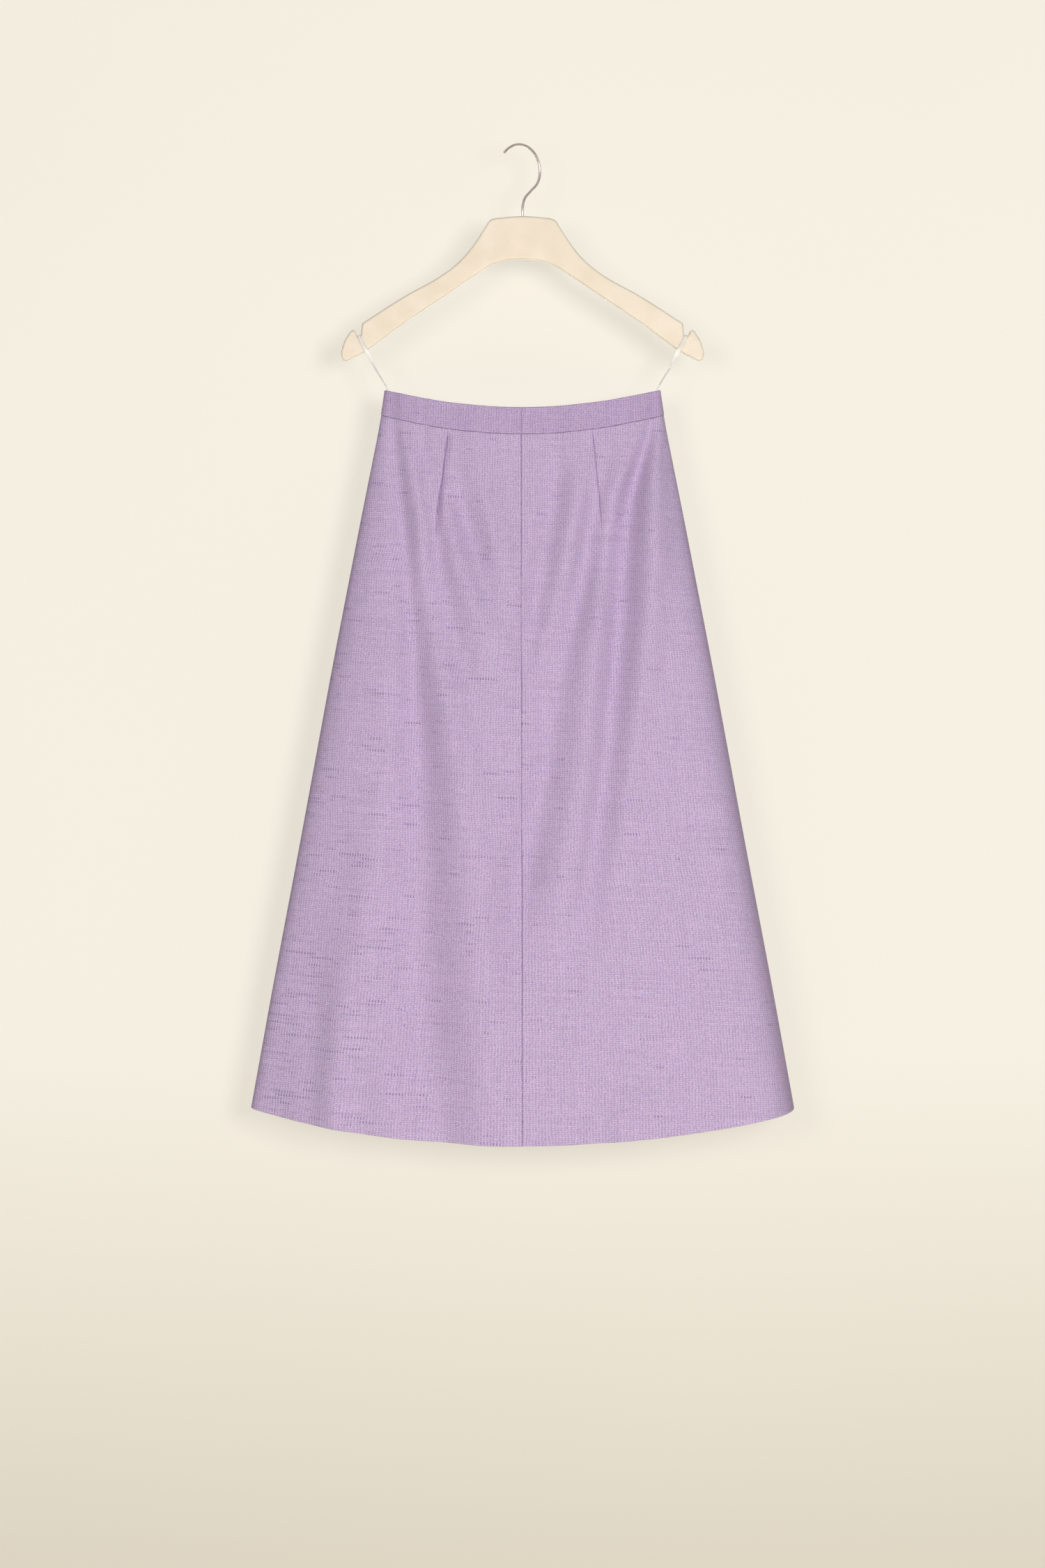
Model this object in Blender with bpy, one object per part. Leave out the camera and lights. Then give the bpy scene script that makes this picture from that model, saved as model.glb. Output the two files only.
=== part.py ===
# A tweed midi skirt, hung by its two satin loops from the notches of a moulded hanger.
# Metres, +Z up, the front of the skirt towards -Y. The origin is where the rail touches the hook from below.

import math
from collections import namedtuple

import bmesh
import bpy
import numpy as np
from mathutils import Vector

COLLECTION_NAME = "tweed_midi_skirt"

# Cloth
SEAM_GAP = 0.0003
CLOTH_WALL = 0.0015
BAND_WALL = 0.0026
BAND_PROUD = 0.0005
SIDE_FULLNESS = 0.8  # 1 gives an ellipse, and less gives fuller sides
PANEL_COLUMNS, PANEL_ROWS = 28, 20
BAND_COLUMNS = 16

# The cloth's level lines. Each hangs lowest at the middle and rises towards the side seams.
Level = namedtuple("Level", "name z half_width half_depth rise")
LEVELS = (
    Level("band top", -0.3089, 0.1620, 0.0205, 0.0219),
    Level("band seam", -0.3404, 0.1656, 0.0210, 0.0239),
    Level("hip", -0.4704, 0.1910, 0.0330, 0.0270),
    Level("thigh", -0.6404, 0.2232, 0.0450, 0.0306),
    Level("knee", -0.8593, 0.2628, 0.0580, 0.0342),
    Level("calf", -1.0277, 0.2943, 0.0660, 0.0362),
    Level("hem", -1.1692, 0.3195, 0.0710, 0.0376),
)
BAND_TOP, BAND_SEAM, HEM = LEVELS[0].z, LEVELS[1].z, LEVELS[-1].z

# A fold is a trough with a crest beside it, on the trough's +X side. x gives the slope between them at
# the fold's upper end, middle and lower end, and reach is how far from it the trough and the crest lie.
Fold = namedtuple("Fold", "name facing z_top z_bottom x_top x_middle x_bottom reach trough crest")
FRONT, BACK = -1, 1
FOLDS = (
    Fold("left sweep", FRONT, -0.335, -1.420, -0.147, -0.092, -0.058, 0.019, 0.0062, 0.0062),
    Fold("left dart", FRONT, -0.345, -0.700, -0.100, -0.088, -0.050, 0.013, 0.0038, 0.0034),
    Fold("left of middle", FRONT, -0.350, -0.600, -0.066, -0.046, -0.026, 0.013, 0.0024, 0.0024),
    Fold("right of middle", FRONT, -0.350, -0.680, 0.054, 0.044, 0.010, 0.012, 0.0030, 0.0028),
    Fold("right dart", FRONT, -0.360, -1.060, 0.108, 0.064, 0.014, 0.015, 0.0046, 0.0042),
    Fold("right sweep", FRONT, -0.325, -1.000, 0.156, 0.128, 0.080, 0.013, 0.0052, 0.0048),
    Fold("left hem", FRONT, -0.860, -1.500, -0.220, -0.228, -0.236, 0.013, 0.0036, 0.0034),
    Fold("right hem", FRONT, -0.820, -1.500, 0.197, 0.216, 0.236, 0.020, 0.0018, 0.0018),
    Fold("back left sweep", BACK, -0.335, -1.330, -0.138, -0.098, -0.070, 0.018, 0.0052, 0.0052),
    Fold("back left dart", BACK, -0.350, -0.790, -0.082, -0.062, -0.030, 0.013, 0.0034, 0.0030),
    Fold("back right dart", BACK, -0.350, -0.860, 0.086, 0.060, 0.022, 0.014, 0.0034, 0.0036),
    Fold("back right sweep", BACK, -0.330, -1.450, 0.146, 0.112, 0.082, 0.017, 0.0050, 0.0048),
    Fold("back left hem", BACK, -0.780, -1.500, -0.196, -0.208, -0.226, 0.017, 0.0030, 0.0030),
    Fold("back right hem", BACK, -0.900, -1.500, 0.222, 0.230, 0.236, 0.015, 0.0030, 0.0028),
)

# Concealed zip in the centre-back seam
ZIP_LENGTH = 0.200
TAPE_WIDTH = 0.0115
TAPE_WALL = 0.0010
TAPE_BELOW_TOP = 0.0040
TAPE_ROWS = 14
SLIDER_SIZE = Vector((0.0050, 0.0016, 0.0085))
SLIDER_CORNER = 0.0012
SLIDER_BELOW_TOP = 0.0090
BRIDGE_RADIUS = 0.0019
BRIDGE_WIRE = 0.00045
BRIDGE_CLEARANCE = 0.0009
PULL_LENGTH = 0.0210
PULL_THICKNESS = 0.0010
PULL_TOP_WIDTH, PULL_LOW_WIDTH = 0.0044, 0.0062
PULL_BAR = 0.0006  # half height of the bar that turns under the bridge
PULL_EYE_WIDTH, PULL_EYE_LENGTH = 0.0021, 0.0024

# Hanger, as an outline of its left half from the middle of the neck to the middle of the arch
HANGER_THICKNESS = 0.0120
HANGER_EDGE = 0.0025
OutlinePoint = namedtuple("OutlinePoint", "name x z handle")
SMOOTH, CORNER = "AUTO", "VECTOR"
HANGER_OUTLINE = (
    OutlinePoint("neck top", 0.0, -0.0828, SMOOTH),
    OutlinePoint("neck top", -0.0220, -0.0843, SMOOTH),
    OutlinePoint("neck corner", -0.0380, -0.0875, SMOOTH),
    OutlinePoint("neck side", -0.0435, -0.0951, SMOOTH),
    OutlinePoint("shoulder", -0.0541, -0.1115, SMOOTH),
    OutlinePoint("shoulder", -0.0689, -0.1304, SMOOTH),
    OutlinePoint("arm top", -0.0894, -0.1484, SMOOTH),
    OutlinePoint("arm top", -0.1419, -0.1788, SMOOTH),
    OutlinePoint("arm corner", -0.1885, -0.2088, CORNER),
    OutlinePoint("notch wall", -0.1900, -0.2225, CORNER),
    OutlinePoint("notch floor", -0.1925, -0.2247, SMOOTH),
    OutlinePoint("notch wall", -0.1952, -0.2222, SMOOTH),
    OutlinePoint("end tip", -0.1985, -0.2168, SMOOTH),
    OutlinePoint("end side", -0.2062, -0.2243, SMOOTH),
    OutlinePoint("end side", -0.2116, -0.2362, SMOOTH),
    OutlinePoint("end corner", -0.2130, -0.2472, SMOOTH),
    OutlinePoint("end foot", -0.2098, -0.2520, SMOOTH),
    OutlinePoint("end underside", -0.1975, -0.2478, SMOOTH),
    OutlinePoint("arm underside", -0.1812, -0.2386, SMOOTH),
    OutlinePoint("arm underside", -0.1419, -0.2099, SMOOTH),
    OutlinePoint("arm underside", -0.0828, -0.1702, SMOOTH),
    OutlinePoint("arch", -0.0541, -0.1509, SMOOTH),
    OutlinePoint("arch", -0.0300, -0.1370, SMOOTH),
    OutlinePoint("arch top", 0.0, -0.1328, SMOOTH),
)

# Hook: wire bent in an upright plane that is turned about Z. s runs along that plane, to the back right.
WIRE_RADIUS = 0.0016
HOOK_TURN = math.radians(43)
HOOK_RADIUS = 0.0280
HOOK_STEM_DEPTH = 0.0200
HOOK_MOUTH = ((-0.0292, -0.0110), (-0.0207, -0.0041), (-0.0105, 0.0004))  # s, z from the tip inwards
HOOK_NECK = ((0.0034, -0.0615), (0.0003, -0.0705), (0.0, -0.0824))  # s, z down to the hanger
HOOK_ARC_DEGREES = (90, 60, 30, 0, -30, -60)

# Hanging loops: satin ribbon from inside the band, up the hanger's front, over the notch and down its back
RIBBON_WALL = 0.0010
RIBBON_ROWS = 36
Station = namedtuple("Station", "name x apart y z across_x across_y across_z width")
RIBBON_HALF = (
    Station("sewn end", 0.1584, 0.0007, 0.0000, -0.3160, 0.0, 1.0, 0.0, 0.0045),
    Station("inside the band", 0.1584, 0.0007, 0.0000, -0.3000, 0.0, 1.0, 0.0, 0.0045),
    Station("band edge", 0.1588, 0.0007, 0.0004, -0.2860, -0.1, 1.0, -0.1, 0.0045),
    Station("half way up", 0.1718, 0.0003, 0.0048, -0.2635, -0.6, 0.7, -0.3, 0.0045),
    Station("hanger underside", 0.1832, 0.0, 0.0074, -0.2420, -0.9, 0.0, -0.45, 0.0044),
    Station("hanger face", 0.1885, 0.0, 0.0073, -0.2320, -0.9, 0.0, -0.42, 0.0042),
    Station("notch edge", 0.1922, 0.0, 0.0066, -0.2236, -0.97, 0.0, -0.10, 0.0030),
    Station("notch floor", 0.1926, 0.0, 0.0000, -0.2229, -1.0, 0.0, 0.0, 0.0030),
)

CLOTH_LILAC = (0.520, 0.402, 0.600)
BAND_LILAC = (0.455, 0.345, 0.530)
TAPE_LILAC = (0.420, 0.320, 0.490)
PULL_LILAC = (0.400, 0.290, 0.480)
RIBBON_WHITE = (0.860, 0.845, 0.800)
HANGER_CREAM = (0.865, 0.752, 0.580)
WIRE_GREY = (0.420, 0.400, 0.385)


def clear_scene():
    for thing in list(bpy.data.objects):
        bpy.data.objects.remove(thing, do_unlink=True)


def plain_material(name, color, roughness, metallic=0.0):
    material = bpy.data.materials.new(name)
    material.use_nodes = True
    shader = material.node_tree.nodes["Principled BSDF"]
    shader.inputs["Base Color"].default_value = (*color, 1.0)
    shader.inputs["Roughness"].default_value = roughness
    shader.inputs["Metallic"].default_value = metallic
    material.diffuse_color = (*color, 1.0)
    return material


def add_object(name, data, collection, parent, material):
    thing = bpy.data.objects.new(name, data)
    collection.objects.link(thing)
    thing.parent = parent
    data.materials.clear()
    data.materials.append(material)
    return thing


def level_at(z):
    # The level line through height z at the middle, between the named ones.
    upwards = LEVELS[::-1]
    heights = [level.z for level in upwards]
    columns = (
        [getattr(level, column) for level in upwards]
        for column in ("half_width", "half_depth", "rise")
    )
    return Level("between", z, *(float(np.interp(z, heights, column)) for column in columns))


def fold_relief(facing, x, z):
    # How far the folds stand out from the plain form, negative in the troughs.
    relief = 0.0
    for fold in FOLDS:
        run = (fold.z_top - z) / (fold.z_top - fold.z_bottom)
        if fold.facing != facing or not 0.0 < run < 1.0:
            continue
        middle = 2 * fold.x_middle - (fold.x_top + fold.x_bottom) / 2
        centre = (1 - run) ** 2 * fold.x_top + 2 * run * (1 - run) * middle + run**2 * fold.x_bottom
        across = (x - centre) / fold.reach
        strength = math.sin(math.pi * run) ** 0.7
        relief += strength * fold.crest * math.exp(-((across - 1) ** 2))
        relief -= strength * fold.trough * math.exp(-((across + 1) ** 2))
    return relief


def cloth_point(facing, half, turn, z):
    # turn runs from 0 at the middle seam to 1 at the side seam; half is -1 on the left and 1 on the right.
    level = level_at(z)
    angle = turn * math.pi / 2
    x = half * (SEAM_GAP / 2 + level.half_width * math.sin(angle))
    depth = level.half_depth + fold_relief(facing, x, z)
    y = facing * (SEAM_GAP / 2 + depth * max(math.cos(angle), 0.0) ** SIDE_FULLNESS)
    return Vector((x, y, z + level.rise * math.sin(angle) ** 2))


def cloth_offset(facing, half, turn, z, offset):
    # The point of the cloth moved out along its outward direction, or inwards where offset is negative.
    step, drop = 0.004, 0.002
    near, far = max(turn - step, 0.0), min(turn + step, 1.0)
    along = cloth_point(facing, half, far, z) - cloth_point(facing, half, near, z)
    down = cloth_point(facing, half, turn, z - drop) - cloth_point(facing, half, turn, z + drop)
    outward = along.cross(down).normalized() * (half * facing)
    return cloth_point(facing, half, turn, z) + outward * offset


def moulded_wall(name, columns, rows, place):
    # A sheet of columns by rows cells with two faces, moulded by place(across, down, face). Both run
    # from 0 to 1, and face is 0 on one side of the sheet and 1 on the other.
    wall = bmesh.new()
    bmesh.ops.create_grid(wall, x_segments=columns, y_segments=rows, size=0.5)
    second = bmesh.ops.extrude_face_region(wall, geom=wall.faces[:])["geom"]
    lifted = [part for part in second if isinstance(part, bmesh.types.BMVert)]
    bmesh.ops.translate(wall, verts=lifted, vec=(0.0, 0.0, 1.0))
    for corner in wall.verts:
        corner.co = place(corner.co.x + 0.5, 0.5 - corner.co.y, round(corner.co.z))
    bmesh.ops.recalc_face_normals(wall, faces=wall.faces[:])
    if wall.calc_volume(signed=True) < 0:
        bmesh.ops.reverse_faces(wall, faces=wall.faces[:])
    mesh = bpy.data.meshes.new(name)
    wall.to_mesh(mesh)
    wall.free()
    mesh.shade_smooth()
    mesh.set_sharp_from_angle(angle=math.radians(50))
    return mesh


def panel_mesh(name, facing, half):
    top, bottom = BAND_SEAM - SEAM_GAP / 2, HEM

    def place(across, down, face):
        return cloth_offset(facing, half, across, top + (bottom - top) * down, -CLOTH_WALL * face)

    return moulded_wall(name, PANEL_COLUMNS, PANEL_ROWS, place)


def band_mesh(name, facing, half):
    # The band is a strip folded at its top edge, so both of its faces curve in there.
    rows = (0.0, 0.0005, BAND_WALL / 2, 0.0100, 0.0200, BAND_TOP - BAND_SEAM - SEAM_GAP / 2)
    curve = BAND_WALL / 2

    def place(across, down, face):
        below = rows[round(down * (len(rows) - 1))]
        inset = curve - math.sqrt(curve**2 - (curve - min(below + 0.0002, curve)) ** 2)
        offset = (BAND_PROUD - BAND_WALL + inset) if face else (BAND_PROUD - inset)
        return cloth_offset(facing, half, across, BAND_TOP - below, offset)

    return moulded_wall(name, BAND_COLUMNS, len(rows) - 1, place)


def tape_mesh(name, half):
    # The tape lies inside the band and the back panel.
    inside = BAND_PROUD - BAND_WALL - SEAM_GAP
    top = BAND_TOP - TAPE_BELOW_TOP

    def place(across, down, face):
        z = top - ZIP_LENGTH * down
        turn = math.asin(TAPE_WIDTH * across / level_at(z).half_width) * 2 / math.pi
        return cloth_offset(BACK, half, turn, z, inside - TAPE_WALL * face)

    return moulded_wall(name, 2, TAPE_ROWS, place)


def ribbon_mesh(name, half):
    # The front strand up to the notch, then the back strand down from it. The strands lie one over the
    # other at their sewn ends, apart from each other by twice the stations' apart.
    strands = []
    for facing in (FRONT, BACK):
        strands.append([
            (half * (at.x - facing * at.apart), facing * at.y, at.z)
            + (half * at.across_x, facing * at.across_y, at.across_z, at.width)
            for at in RIBBON_HALF
        ])
    track = np.array(strands[0] + strands[1][-2::-1])

    def station_at(run):
        # Catmull-Rom between the stations on either side
        place = run * (len(track) - 1)
        first = min(int(place), len(track) - 2)
        t = place - first
        before, after = track[max(first - 1, 0)], track[min(first + 2, len(track) - 1)]
        start, end = track[first], track[first + 1]
        pull_in, pull_out = (end - before) / 2, (after - start) / 2
        blend = (2 * t**3 - 3 * t**2 + 1) * start + (3 * t**2 - 2 * t**3) * end
        return blend + (t**3 - 2 * t**2 + t) * pull_in + (t**3 - t**2) * pull_out

    def place(across, down, face):
        here = station_at(down)
        ahead = Vector((station_at(min(down + 0.01, 1.0)) - station_at(max(down - 0.01, 0.0)))[:3])
        sideways = Vector(here[3:6]).normalized()
        outward = sideways.cross(ahead).normalized()
        sideways = ahead.cross(outward).normalized()
        return Vector(here[:3]) + sideways * (across - 0.5) * here[6] + outward * RIBBON_WALL * (face - 0.5)

    return moulded_wall(name, 2, RIBBON_ROWS, place)


def mesh_from_curve(curve_object):
    # The curve's evaluated mesh with its caps welded; the curve is removed.
    graph = bpy.context.evaluated_depsgraph_get()
    mesh = bpy.data.meshes.new_from_object(curve_object.evaluated_get(graph))
    welded = bmesh.new()
    welded.from_mesh(mesh)
    bmesh.ops.remove_doubles(welded, verts=welded.verts[:], dist=0.000005)
    bmesh.ops.recalc_face_normals(welded, faces=welded.faces[:])
    welded.to_mesh(mesh)
    welded.free()
    bpy.data.objects.remove(curve_object, do_unlink=True)
    return mesh


def hanger_curve():
    # The left half and its mirror image, closed into one flat outline.
    right = [point._replace(x=-point.x) for point in HANGER_OUTLINE[-2:0:-1]]
    outline = list(HANGER_OUTLINE) + right
    curve = bpy.data.curves.new("hanger_outline", "CURVE")
    curve.dimensions = "2D"
    curve.fill_mode = "BOTH"
    curve.resolution_u = 4
    curve.extrude = HANGER_THICKNESS / 2 - HANGER_EDGE
    curve.bevel_depth = HANGER_EDGE
    curve.bevel_resolution = 1
    curve.offset = -HANGER_EDGE
    spline = curve.splines.new("BEZIER")
    spline.bezier_points.add(len(outline) - 1)
    for corner, point in zip(spline.bezier_points, outline):
        corner.co = (point.x, point.z, 0.0)
        corner.handle_left_type = corner.handle_right_type = point.handle
    spline.use_cyclic_u = True
    return curve


def build_hanger(collection, cutters, parent):
    outline = bpy.data.objects.new("hanger_outline", hanger_curve())
    collection.objects.link(outline)
    bpy.context.view_layer.update()
    mesh = mesh_from_curve(outline)
    cream = plain_material("moulded cream", HANGER_CREAM, 0.7)
    hanger = add_object("hanger", mesh, collection, parent, cream)
    hanger.rotation_euler = (math.pi / 2, 0.0, 0.0)

    bpy.ops.mesh.primitive_cylinder_add(
        vertices=16,
        radius=WIRE_RADIUS + SEAM_GAP,
        depth=2 * HOOK_STEM_DEPTH,
        location=(0.0, 0.0, HANGER_OUTLINE[0].z - SEAM_GAP),
    )
    bore = bpy.context.object
    bore.name = "stem_bore"
    for holder in list(bore.users_collection):
        holder.objects.unlink(bore)
    cutters.objects.link(bore)
    bore.hide_render = True
    bore.display_type = "WIRE"
    cut = hanger.modifiers.new("stem bore", "BOOLEAN")
    cut.operation = "DIFFERENCE"
    cut.object = bore
    return hanger


def build_hook(collection, parent):
    centre_z = WIRE_RADIUS - HOOK_RADIUS
    arc = [
        (HOOK_RADIUS * math.cos(math.radians(turn)), centre_z + HOOK_RADIUS * math.sin(math.radians(turn)))
        for turn in HOOK_ARC_DEGREES
    ]
    stem_end = (0.0, HANGER_OUTLINE[0].z - HOOK_STEM_DEPTH + SEAM_GAP)
    route = list(HOOK_MOUTH) + arc + list(HOOK_NECK) + [stem_end]
    curve = bpy.data.curves.new("hanger_hook", "CURVE")
    curve.dimensions = "3D"
    curve.resolution_u = 4
    curve.bevel_depth = WIRE_RADIUS
    curve.bevel_resolution = 2
    curve.use_fill_caps = True
    spline = curve.splines.new("BEZIER")
    spline.bezier_points.add(len(route) - 1)
    for corner, (s, z) in zip(spline.bezier_points, route):
        corner.co = (s, 0.0, z)
        corner.handle_left_type = corner.handle_right_type = "AUTO"
    steel = plain_material("steel wire", WIRE_GREY, 0.3, 1.0)
    hook = add_object("hanger_hook", curve, collection, parent, steel)
    hook.rotation_euler = (0.0, 0.0, HOOK_TURN)
    return hook


def slider_seat():
    # The middle of the slider's outer face, on the back of the band.
    top_depth = LEVELS[0].half_depth + SEAM_GAP / 2 + BAND_PROUD
    return Vector((0.0, top_depth + SEAM_GAP + SLIDER_SIZE.y, BAND_TOP - SLIDER_BELOW_TOP))


def build_slider(collection, cutters, parent):
    seat = slider_seat()
    body = bmesh.new()
    bmesh.ops.create_cube(body, size=1.0)
    bmesh.ops.scale(body, vec=SLIDER_SIZE, verts=body.verts[:])
    bmesh.ops.translate(body, vec=seat - Vector((0.0, SLIDER_SIZE.y / 2, 0.0)), verts=body.verts[:])
    through = [edge for edge in body.edges if abs(edge.verts[0].co.y - edge.verts[1].co.y) > 0.001]
    bmesh.ops.bevel(
        body, geom=through, offset=SLIDER_CORNER, segments=2, profile=0.5, affect="EDGES", material=-1
    )
    mesh = bpy.data.meshes.new("zip_slider")
    body.to_mesh(mesh)
    body.free()
    metal = plain_material("slider metal", PULL_LILAC, 0.35)
    slider = add_object("zip_slider", mesh, collection, parent, metal)

    # The bridge is a half circle about the pull's axis, on two short legs that sink into the body.
    axis = pull_axis()
    legs = BRIDGE_CLEARANCE + SLIDER_SIZE.y / 2
    route = [(-BRIDGE_RADIUS, -legs)]
    route += [
        (BRIDGE_RADIUS * math.cos(math.radians(turn)), BRIDGE_RADIUS * math.sin(math.radians(turn)))
        for turn in range(180, -1, -30)
    ]
    route.append((BRIDGE_RADIUS, -legs))
    curve = bpy.data.curves.new("slider_bridge", "CURVE")
    curve.dimensions = "3D"
    curve.bevel_depth = BRIDGE_WIRE
    curve.bevel_resolution = 1
    curve.use_fill_caps = True
    spline = curve.splines.new("POLY")
    spline.points.add(len(route) - 1)
    for corner, (along, out) in zip(spline.points, route):
        corner.co = (axis.x, axis.y + out, axis.z + along, 1.0)
    guide = bpy.data.objects.new("slider_bridge_guide", curve)
    collection.objects.link(guide)
    bpy.context.view_layer.update()
    bridge = bpy.data.objects.new("slider_bridge", mesh_from_curve(guide))
    cutters.objects.link(bridge)
    bridge.hide_render = True
    bridge.display_type = "WIRE"
    join = slider.modifiers.new("bridge", "BOOLEAN")
    join.operation = "UNION"
    join.object = bridge
    return slider


def pull_axis():
    return slider_seat() + Vector((0.0, BRIDGE_CLEARANCE, 0.0))


def build_pull(collection, parent):
    # A tapered tab with rounded ends and an eye under its bar, flat in XZ and hung from its axis.
    shoulder = PULL_BAR - PULL_TOP_WIDTH / 2
    foot = PULL_BAR - PULL_LENGTH + PULL_LOW_WIDTH / 2
    outline = [
        (-PULL_TOP_WIDTH / 2, shoulder),
        (-PULL_TOP_WIDTH / 3, PULL_BAR),
        (PULL_TOP_WIDTH / 3, PULL_BAR),
        (PULL_TOP_WIDTH / 2, shoulder),
    ]
    end_radius = PULL_LOW_WIDTH / 2
    outline += [
        (end_radius * math.cos(math.radians(turn)), foot - end_radius * math.sin(math.radians(turn)))
        for turn in range(0, 181, 30)
    ]
    eye_top, eye_foot = -PULL_BAR, -PULL_BAR - PULL_EYE_LENGTH
    eye = [
        (-PULL_EYE_WIDTH / 2, eye_top),
        (-PULL_EYE_WIDTH / 2, eye_foot),
        (PULL_EYE_WIDTH / 2, eye_foot),
        (PULL_EYE_WIDTH / 2, eye_top),
    ]
    curve = bpy.data.curves.new("pull_outline", "CURVE")
    curve.dimensions = "2D"
    curve.fill_mode = "BOTH"
    curve.extrude = PULL_THICKNESS / 2
    for ring in (outline, eye):
        spline = curve.splines.new("POLY")
        spline.points.add(len(ring) - 1)
        for corner, (x, z) in zip(spline.points, ring):
            corner.co = (x, z, 0.0, 1.0)
        spline.use_cyclic_u = True
    guide = bpy.data.objects.new("pull_outline", curve)
    collection.objects.link(guide)
    bpy.context.view_layer.update()
    mesh = mesh_from_curve(guide)
    metal = plain_material("pull metal", PULL_LILAC, 0.35)
    pull = add_object("zip_pull", mesh, collection, parent, metal)
    pull.location = pull_axis()
    pull.rotation_euler = (math.pi / 2, 0.0, 0.0)
    return pull


def main():
    clear_scene()
    collection = bpy.data.collections.new(COLLECTION_NAME)
    cutters = bpy.data.collections.new("cutters")
    bpy.context.scene.collection.children.link(collection)
    bpy.context.scene.collection.children.link(cutters)
    rail_seat = bpy.data.objects.new("rail_seat", None)
    collection.objects.link(rail_seat)

    def add_cloth(name, mesh, finish, color, roughness):
        cloth = plain_material(f"{finish} {name}", color, roughness)
        add_object(name, mesh, collection, rail_seat, cloth)

    for half, half_name in ((-1, "left"), (1, "right")):
        for facing, face_name in ((FRONT, "front"), (BACK, "back")):
            panel = f"skirt_{face_name}_{half_name}"
            add_cloth(panel, panel_mesh(panel, facing, half), "tweed", CLOTH_LILAC, 0.9)
            band = f"band_{face_name}_{half_name}"
            add_cloth(band, band_mesh(band, facing, half), "tweed", BAND_LILAC, 0.9)
        tape = f"zip_tape_{half_name}"
        add_cloth(tape, tape_mesh(tape, half), "woven tape", TAPE_LILAC, 0.8)
        loop = f"loop_{half_name}"
        add_cloth(loop, ribbon_mesh(loop, half), "satin", RIBBON_WHITE, 0.4)

    build_hanger(collection, cutters, rail_seat)
    build_hook(collection, rail_seat)
    build_slider(collection, cutters, rail_seat)
    build_pull(collection, rail_seat)


main()
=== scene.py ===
import math
import random
from functools import partial

import bmesh
import bpy
import numpy as np
from mathutils import Matrix, Vector


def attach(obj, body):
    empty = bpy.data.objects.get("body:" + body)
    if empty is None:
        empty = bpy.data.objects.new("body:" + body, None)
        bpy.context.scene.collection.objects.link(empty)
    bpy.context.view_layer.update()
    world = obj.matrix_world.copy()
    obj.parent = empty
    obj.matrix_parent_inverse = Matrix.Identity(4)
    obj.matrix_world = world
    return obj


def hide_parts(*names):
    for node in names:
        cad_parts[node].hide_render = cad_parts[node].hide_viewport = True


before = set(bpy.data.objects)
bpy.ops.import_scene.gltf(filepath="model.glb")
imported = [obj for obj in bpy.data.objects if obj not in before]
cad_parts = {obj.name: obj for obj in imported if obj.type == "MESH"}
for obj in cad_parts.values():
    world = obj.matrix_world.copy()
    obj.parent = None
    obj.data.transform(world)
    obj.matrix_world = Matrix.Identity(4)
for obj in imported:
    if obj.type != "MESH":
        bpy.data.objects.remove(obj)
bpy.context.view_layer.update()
front, back = -1, 1
faceNames = {front: "front", back: "back"}
sideNames = {-1: "Left", 1: "Right"}


# ---- colours and nodes

def linear(hexColour):
    # sRGB hex to the linear values that the shaders take
    parts = [int(hexColour[at:at + 2], 16) / 255 for at in (0, 2, 4)]
    return (*[p / 12.92 if p <= 0.04045 else ((p + 0.055) / 1.055) ** 2.4 for p in parts], 1.0)


def addNode(tree, kind, inputs=(), operation=None, stops=(), **settings):
    # inputs are a dictionary, or a list in the order of the node's sockets; each is a value, a socket, or
    # a node whose first output it takes. A colour ramp's stops are (position, hex colour)
    made = tree.nodes.new("ShaderNode" + kind)
    for name, value in settings.items():
        setattr(made, name, value)
    if operation:
        made.operation = operation
    for name, value in inputs.items() if isinstance(inputs, dict) else enumerate(inputs):
        if isinstance(value, bpy.types.Node):
            value = value.outputs[0]
        if isinstance(value, bpy.types.NodeSocket):
            tree.links.new(value, made.inputs[name])
        else:
            made.inputs[name].default_value = value
    for count, (position, hexColour) in enumerate(stops):
        ramp = made.color_ramp.elements
        stop = ramp[count] if count < 2 else ramp.new(position)
        stop.position = position
        stop.color = linear(hexColour)
    return made


def newMaterial(name):
    # the material, and the function that adds nodes to it
    material = bpy.data.materials.new(name)
    material.use_nodes = True
    material.node_tree.nodes.clear()
    return material, partial(addNode, material.node_tree)


# Tweed of boucle knots: pale looped yarn over thin violet wefts, woven loose and pressed. The eye sees
# rows of pale dots on lilac, dark slits where a warp thins out, and a matt, faintly hairy face. The slits
# are painted darker than the violet wefts: painted shade in the opening.
tweed = {
    "warpSpacing": 3.0,  # mm between two columns of knots
    "weftSpacing": 2.2,  # mm between two rows of knots
    "gap": "a48fb4",
    "ground": "bda7c7",
    "knot": "dccbdc",
    "pinkYarn": "c9abc6",
    "blueYarn": "b3a3cd",
    # the slits' colour: the violet weft darkened by painted shade in the opening
    "slit": "836f98",
    "slitShare": 0.645,  # noise above this opens a row of slits; a lower value opens more of them
    "relief": 0.45,  # mm from a gap to the top of a knot
}


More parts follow.
